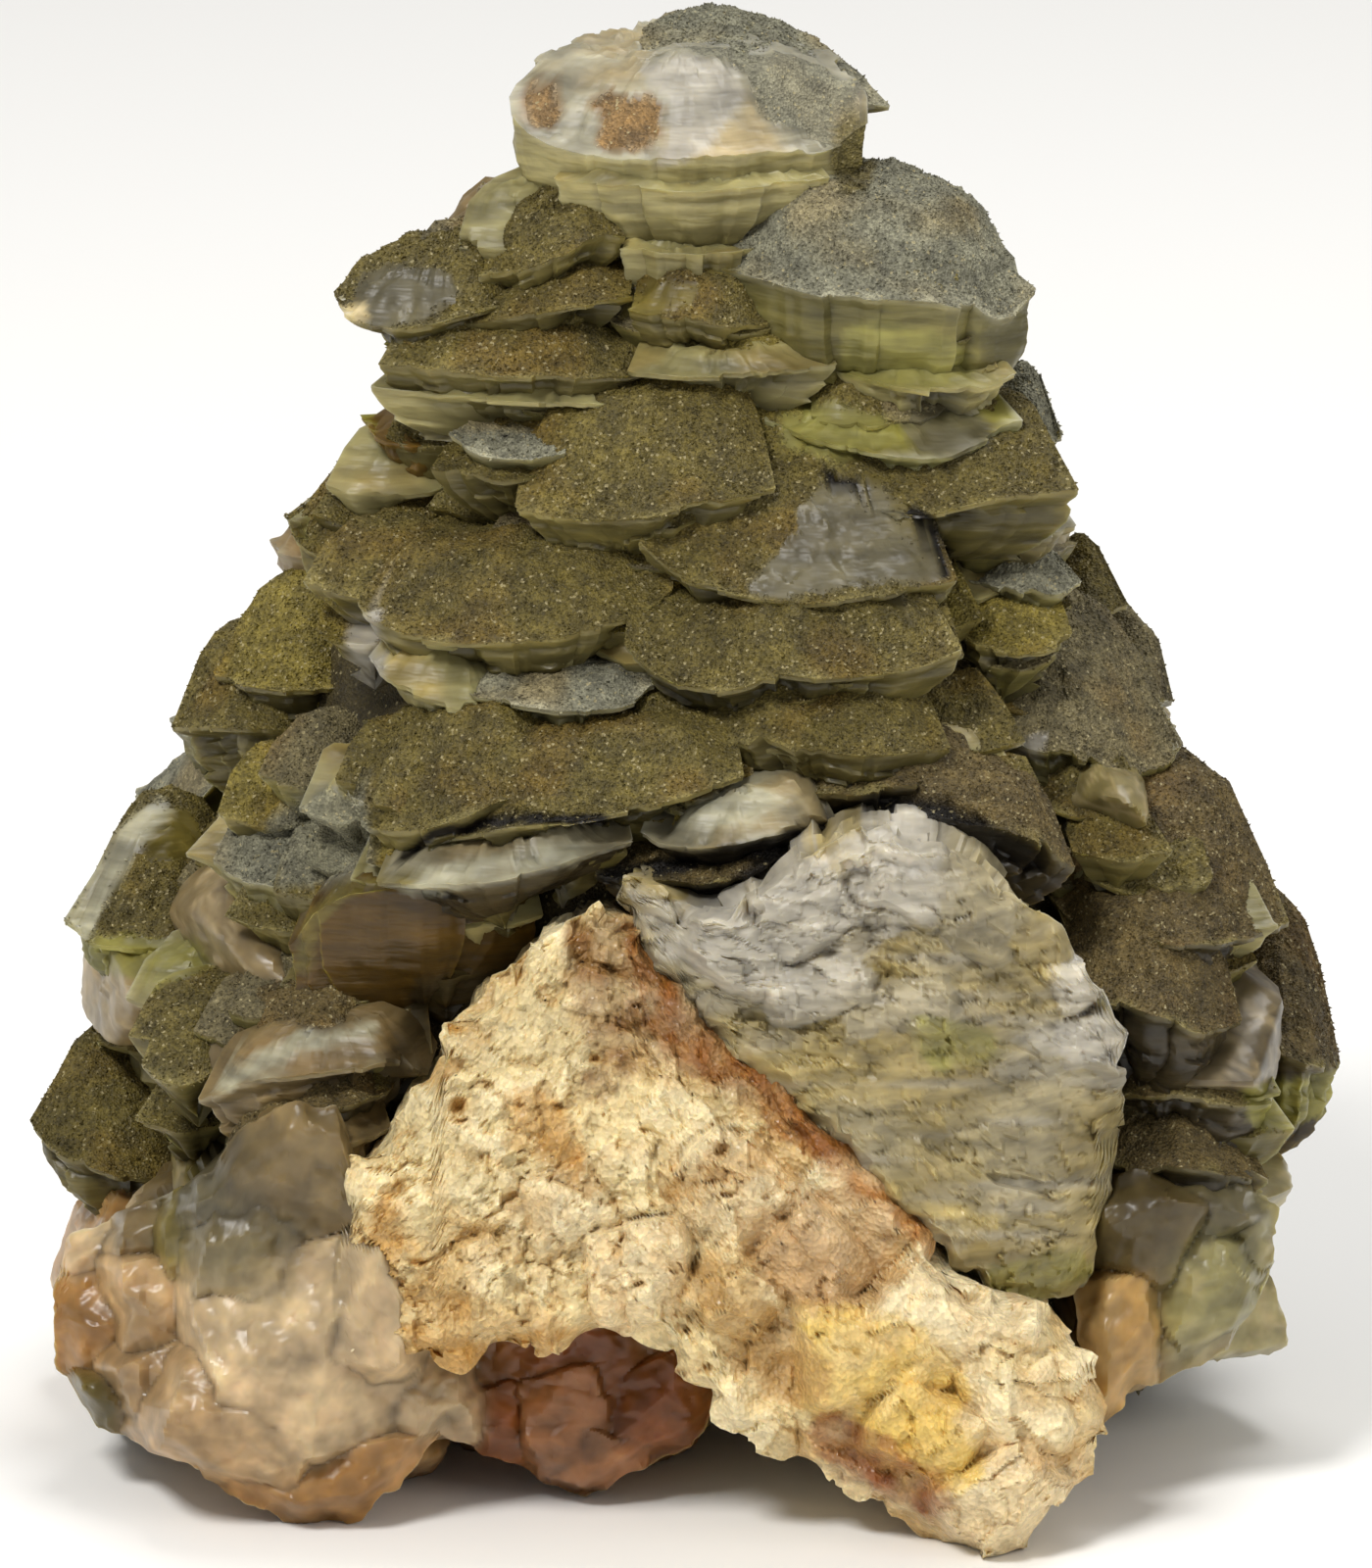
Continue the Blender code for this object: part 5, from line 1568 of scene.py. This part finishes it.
def add_noise(nodes, links, place, scale, stretch=(1.0, 1.0, 1.0), detail=2.0):
    """Noise in the place of the object, stretched along its axes."""
    warp = nodes.new("ShaderNodeMapping")
    warp.inputs["Scale"].default_value = stretch
    pattern = nodes.new("ShaderNodeTexNoise")
    pattern.inputs["Scale"].default_value = scale
    pattern.inputs["Detail"].default_value = detail
    links.new(place, warp.inputs["Vector"])
    links.new(warp.outputs["Vector"], pattern.inputs["Vector"])
    return pattern.outputs["Fac"]


def add_bump(nodes, links, shader, height, distance, strength):
    """A bump on a shader, on top of any bump that is there already."""
    bump = nodes.new("ShaderNodeBump")
    bump.inputs["Distance"].default_value = distance
    bump.inputs["Strength"].default_value = strength
    links.new(height, bump.inputs["Height"])
    for link in list(shader.inputs["Normal"].links):
        links.new(link.from_socket, bump.inputs["Normal"])
    links.new(bump.outputs["Normal"], shader.inputs["Normal"])


def make_druse():
    """Sugary druse: a rough coat of tiny grains, a few of which catch the light."""
    material, nodes, links, shader = new_material("druse")
    place, tint = add_tint(nodes, links, 0.32, 700.0)
    shader.inputs["Specular IOR Level"].default_value = 0.35
    cells, parts = add_cells(nodes, links, place, DRUSE_GRAIN)
    specks = add_range(nodes, links, parts.outputs["Red"], 0.6, 1.25)
    speckled = scale_colour(nodes, links, tint, specks)
    glint = add_range(nodes, links, parts.outputs["Green"], 0.0, 0.6, 0.955, 0.98)
    mix = nodes.new("ShaderNodeMix")
    mix.data_type = "RGBA"
    mix.inputs["B"].default_value = GLINT_COLOUR
    links.new(glint, mix.inputs["Factor"])
    links.new(speckled, mix.inputs["A"])
    links.new(mix.outputs["Result"], shader.inputs["Base Color"])
    links.new(add_range(nodes, links, glint, 0.62, 0.25), shader.inputs["Roughness"])
    add_bump(nodes, links, shader, add_noise(nodes, links, place, 600.0), 0.0006, 0.6)
    add_bump(nodes, links, shader, cells.outputs["Distance"], 0.00015, 0.9)
    return material


def make_bare(name, roughness, clear, glow, stretch, relief):
    """Bare calcite: cloudy and a little see-through, with faint layers.

    Clear is how much light passes through, glow is how much spreads inside, and relief is the height of the
    bumps in metres.
    """
    material, nodes, links, shader = new_material(name)
    place, tint = add_tint(nodes, links, 0.12, 400.0)
    shader.inputs["Roughness"].default_value = roughness
    shader.inputs["IOR"].default_value = 1.55
    shader.inputs["Specular IOR Level"].default_value = 0.3
    shader.inputs["Transmission Weight"].default_value = clear
    shader.inputs["Subsurface Weight"].default_value = glow
    shader.inputs["Subsurface Radius"].default_value = (1.0, 0.85, 0.5)
    shader.inputs["Subsurface Scale"].default_value = 0.002
    layers = add_noise(nodes, links, place, 500.0, stretch)
    fine = add_range(nodes, links, layers, 0.8, 1.2, 0.35, 0.65)
    streaked = scale_colour(nodes, links, tint, fine)
    clouds = add_noise(nodes, links, place, 160.0, stretch)
    broad = add_range(nodes, links, clouds, 0.72, 1.2, 0.35, 0.65)
    links.new(scale_colour(nodes, links, streaked, broad), shader.inputs["Base Color"])
    add_bump(nodes, links, shader, layers, relief, 0.5)
    return material


def make_quartz():
    """Sugary quartz: crumbly, cream to orange, with fine sparkling grains."""
    material, nodes, links, shader = new_material("sugary_quartz")
    place, tint = add_tint(nodes, links, 0.16, 700.0)
    cells, parts = add_cells(nodes, links, place, QUARTZ_GRAIN)
    add_bump(nodes, links, shader, add_noise(nodes, links, place, 500.0), 0.00055, 0.7)
    specks = add_range(nodes, links, parts.outputs["Red"], 0.85, 1.15)
    links.new(scale_colour(nodes, links, tint, specks), shader.inputs["Base Color"])
    links.new(add_range(nodes, links, parts.outputs["Green"], 0.3, 0.7), shader.inputs["Roughness"])
    shader.inputs["Subsurface Weight"].default_value = 0.3
    shader.inputs["Subsurface Radius"].default_value = (1.0, 0.7, 0.35)
    shader.inputs["Subsurface Scale"].default_value = 0.0012
    add_bump(nodes, links, shader, cells.outputs["Distance"], 0.0002, 0.8)
    return material


# -------------------------------- loose grains

# The usual size of a grain and its room on the surface, in metres, and the widest angle that it turns by.
GRAIN_SIZE = 0.0002
GRAIN_SPACING = 0.00027
GRAIN_TURN = 6.28
# The inputs of the scatter.
GRAIN_INPUTS = {
    "Smallest Grain": 0.6 * GRAIN_SIZE,
    "Largest Grain": 1.4 * GRAIN_SIZE,
    "Grains In A Square Metre": 1.0 / GRAIN_SPACING ** 2,
}


def grain_scatter(name, surface, seed, material):
    """A node tree that scatters small pointed grains over the coated parts of a surface."""
    group = bpy.data.node_groups.new(name, "GeometryNodeTree")
    group.interface.new_socket("Geometry", in_out="OUTPUT", socket_type="NodeSocketGeometry")
    for title in GRAIN_INPUTS:
        group.interface.new_socket(title, in_out="INPUT", socket_type="NodeSocketFloat")
    nodes, links = group.nodes, group.links
    sizes = nodes.new("NodeGroupInput")
    source = nodes.new("GeometryNodeObjectInfo")
    source.inputs["Object"].default_value = surface
    coat = nodes.new("GeometryNodeInputNamedAttribute")
    coat.data_type = "FLOAT"
    coat.inputs["Name"].default_value = "grain_share"
    spread = nodes.new("ShaderNodeMath")
    spread.operation = "MULTIPLY"
    points = nodes.new("GeometryNodeDistributePointsOnFaces")
    points.inputs["Seed"].default_value = seed
    grain = nodes.new("GeometryNodeMeshCone")
    grain.inputs["Vertices"].default_value = 3
    grain.inputs["Radius Top"].default_value = 0.0
    grain.inputs["Radius Bottom"].default_value = 0.5
    grain.inputs["Depth"].default_value = 1.0
    turn = nodes.new("FunctionNodeRandomValue")
    turn.data_type = "FLOAT_VECTOR"
    turn.inputs[1].default_value = (GRAIN_TURN, GRAIN_TURN, GRAIN_TURN)
    turn.inputs["Seed"].default_value = seed + 1
    scale = nodes.new("FunctionNodeRandomValue")
    scale.data_type = "FLOAT"
    scale.inputs["Seed"].default_value = seed + 2
    place = nodes.new("GeometryNodeInstanceOnPoints")
    real = nodes.new("GeometryNodeRealizeInstances")
    finish = nodes.new("GeometryNodeSetMaterial")
    finish.inputs["Material"].default_value = material
    result = nodes.new("NodeGroupOutput")
    links.new(source.outputs["Geometry"], points.inputs["Mesh"])
    links.new(coat.outputs["Attribute"], spread.inputs[0])
    links.new(sizes.outputs["Grains In A Square Metre"], spread.inputs[1])
    links.new(sizes.outputs["Smallest Grain"], scale.inputs[2])
    links.new(sizes.outputs["Largest Grain"], scale.inputs[3])
    links.new(spread.outputs["Value"], points.inputs["Density"])
    links.new(points.outputs["Points"], place.inputs["Points"])
    links.new(grain.outputs["Mesh"], place.inputs["Instance"])
    links.new(turn.outputs[0], place.inputs["Rotation"])
    links.new(scale.outputs[1], place.inputs["Scale"])
    links.new(place.outputs["Instances"], real.inputs["Geometry"])
    links.new(real.outputs["Geometry"], finish.inputs["Geometry"])
    links.new(finish.outputs["Geometry"], result.inputs[0])
    return group


def make_grains(name, surface, seed, material):
    """The loose grains of a surface, as one mesh."""
    group = grain_scatter(name, surface, seed, material)
    holder = bpy.data.objects.new(name + "_maker", bpy.data.meshes.new(name + "_empty"))
    bpy.context.scene.collection.objects.link(holder)
    scatter = holder.modifiers.new("grains", "NODES")
    scatter.node_group = group
    for socket in group.interface.items_tree:
        if socket.in_out == "INPUT":
            scatter[socket.identifier] = GRAIN_INPUTS[socket.name]
    ready = holder.evaluated_get(bpy.context.evaluated_depsgraph_get())
    mesh = bpy.data.meshes.new_from_object(ready)
    mesh.name = name
    bpy.data.objects.remove(holder)
    made = bpy.data.objects.new(name, mesh)
    bpy.context.scene.collection.objects.link(made)
    return made


# -------------------------------- the stage

# Each lamp: its name, its place and size in metres, its power in watts and its colour.
Lamp = namedtuple("Lamp", "name place size power colour")
LAMPS = (
    Lamp("key", (-0.35, -0.55, 0.8), 0.25, 7.5, (1.0, 0.98, 0.95)),
    Lamp("fill", (0.7, -0.5, 0.45), 0.6, 2.0, (1.0, 0.99, 0.97)),
    Lamp("top", (0.15, 0.2, 0.9), 0.4, 4.0, (1.0, 0.99, 0.97)),
)
# What the lamps point at.
LAMP_TARGET = (0.0, 0.0, 0.05)
FLOOR_SIZE = 8.0
FLOOR_COLOUR = (0.88, 0.88, 0.87, 1.0)
SKY_COLOUR = (1.0, 0.985, 0.96, 1.0)
SKY_STRENGTH = 0.42


def add_light(name, place, size, power, colour):
    """A round soft lamp that points at the specimen."""
    lamp = bpy.data.lights.new(name, "AREA")
    lamp.shape = "DISK"
    lamp.size = size
    lamp.energy = power
    lamp.color = colour
    holder = bpy.data.objects.new(name, lamp)
    holder.location = place
    aim = Vector(LAMP_TARGET) - Vector(place)
    holder.rotation_euler = aim.to_track_quat("-Z", "Y").to_euler()
    bpy.context.scene.collection.objects.link(holder)


def add_stage():
    """A pale floor, a plain pale sky and the lamps."""
    bpy.ops.mesh.primitive_plane_add(size=FLOOR_SIZE, location=(0.0, 2.0, 0.0))
    floor = bpy.context.object
    floor.name = "floor"
    material, _, _, shader = new_material("pale_floor")
    shader.inputs["Base Color"].default_value = FLOOR_COLOUR
    shader.inputs["Roughness"].default_value = 0.8
    floor.data.materials.append(material)
    world = bpy.data.worlds.new("studio")
    world.use_nodes = True
    sky = world.node_tree.nodes["Background"]
    sky.inputs["Color"].default_value = SKY_COLOUR
    sky.inputs["Strength"].default_value = SKY_STRENGTH
    bpy.context.scene.world = world
    for lamp in LAMPS:
        add_light(*lamp)


# How far the camera stands from its target, in metres, and how far out the target is.
CAMERA_DISTANCE = 1.0
TARGET_OUT = 24.0
# The height that the picture takes in, and the up of its middle.
FRAME_HEIGHT = 1600 * 0.07
FRAME_MIDDLE_UP = FRAME_HEIGHT / 2 - 0.6
SENSOR_WIDTH = 36.0


def add_camera():
    """The camera in front of the specimen, which looks down at it by LOOK_DOWN."""
    camera = bpy.data.cameras.new("camera")
    camera.sensor_width = SENSOR_WIDTH
    camera.lens = SENSOR_WIDTH * CAMERA_DISTANCE / (FRAME_HEIGHT * MM)
    camera.clip_end = 20.0
    holder = bpy.data.objects.new("camera", camera)
    target = Vector(seen(0.0, FRAME_MIDDLE_UP, TARGET_OUT)) * MM
    back = Vector((0.0, -math.cos(LOOK_DOWN), math.sin(LOOK_DOWN)))
    holder.location = target + back * CAMERA_DISTANCE
    holder.rotation_euler = (-back).to_track_quat("-Z", "Y").to_euler()
    bpy.context.scene.collection.objects.link(holder)
    bpy.context.scene.camera = holder


# -------------------------------- putting it together


def settle(piece, node):
    """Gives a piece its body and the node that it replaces."""
    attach(piece, "root")
    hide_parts(node)


def build_plates(druse, bare):
    """The plates of the front and of its corners. Returns their pieces, on which the loose grains grow."""
    surfaces = {}
    seed = 100
    for name, plates in PLATE_GROUPS.items():
        surfaces[name] = Surface()
        for plate in plates:
            add_front_plate(surfaces[name], plate, seed)
            seed += 7
    surfaces["plates_filling"] = Surface()
    add_filling(surfaces["plates_filling"])
    surfaces["plates_corners"] = Surface()
    add_corners(surfaces["plates_corners"])
    trees = [surface.tree() for surface in surfaces.values()]
    coated = []
    for name, surface in surfaces.items():
        surface.find_open(trees)
        coated.append(surface.make(name, (druse, bare), PLATE_ZONES))
        settle(coated[-1], "calcite_plates")
    return coated


def build_sides(druse, bare):
    """The rows of plates around the left and the right side, which meet at the back."""
    for name, first, last in (("plates_side_left", 0.0, 0.5), ("plates_side_right", 0.5, 1.1)):
        surface = Surface()
        add_side_rows(surface, first, last)
        settle(surface.make(name, (druse, bare)), "calcite_plates")


def build_base(crystal, druse):
    """The clear crystals of the base, and the trunk behind everything."""
    surface = Surface()
    for number, spec in enumerate(LUMPS):
        add_lump(surface, spec, 300 + number)
    piece = surface.make("base_crystals", (crystal,), PLATE_ZONES, sharp=40.0)
    settle(piece, "calcite_plates")
    surface = Surface()
    add_crystal_face(surface, LEFT_BASE)
    add_crystal_face(surface, RIGHT_BASE)
    settle(surface.make("base_face", (crystal,), sharp=25.0), "calcite_plates")
    surface = Surface()
    add_trunk(surface)
    settle(surface.make("plates_trunk", (druse,)), "calcite_plates")


def build_broken_front(quartz, cleaved):
    """The quartz core and the cleaved crystal that the broken front shows."""
    surface = Surface()
    add_quartz(surface)
    settle(surface.make("quartz_face", (quartz,), sharp=30.0), "quartz_core")
    surface = Surface()
    add_cleaved(surface)
    settle(surface.make("cleaved_face", (cleaved,), sharp=30.0), "cleaved_calcite")


def build():
    """The whole specimen."""
    bpy.context.scene.view_settings.view_transform = "Standard"
    druse = make_druse()
    bare = make_bare("bare_calcite", 0.42, 0.2, 0.4, (0.5, 0.5, 3.0), 0.0004)
    crystal = make_bare("cloudy_crystal", 0.34, 0.3, 0.7, (1.0, 1.0, 1.0), 0.0002)
    cleaved = make_bare("cleaved_crystal", 0.4, 0.15, 0.5, (0.6, 0.6, 2.5), 0.0003)
    quartz = make_quartz()
    coated = build_plates(druse, bare)
    build_sides(druse, bare)
    build_base(crystal, druse)
    build_broken_front(quartz, cleaved)
    for number, piece in enumerate(coated):
        grains = make_grains(piece.name + "_grains", piece, 40 + number, druse)
        settle(grains, "calcite_plates")


build()
add_stage()
add_camera()
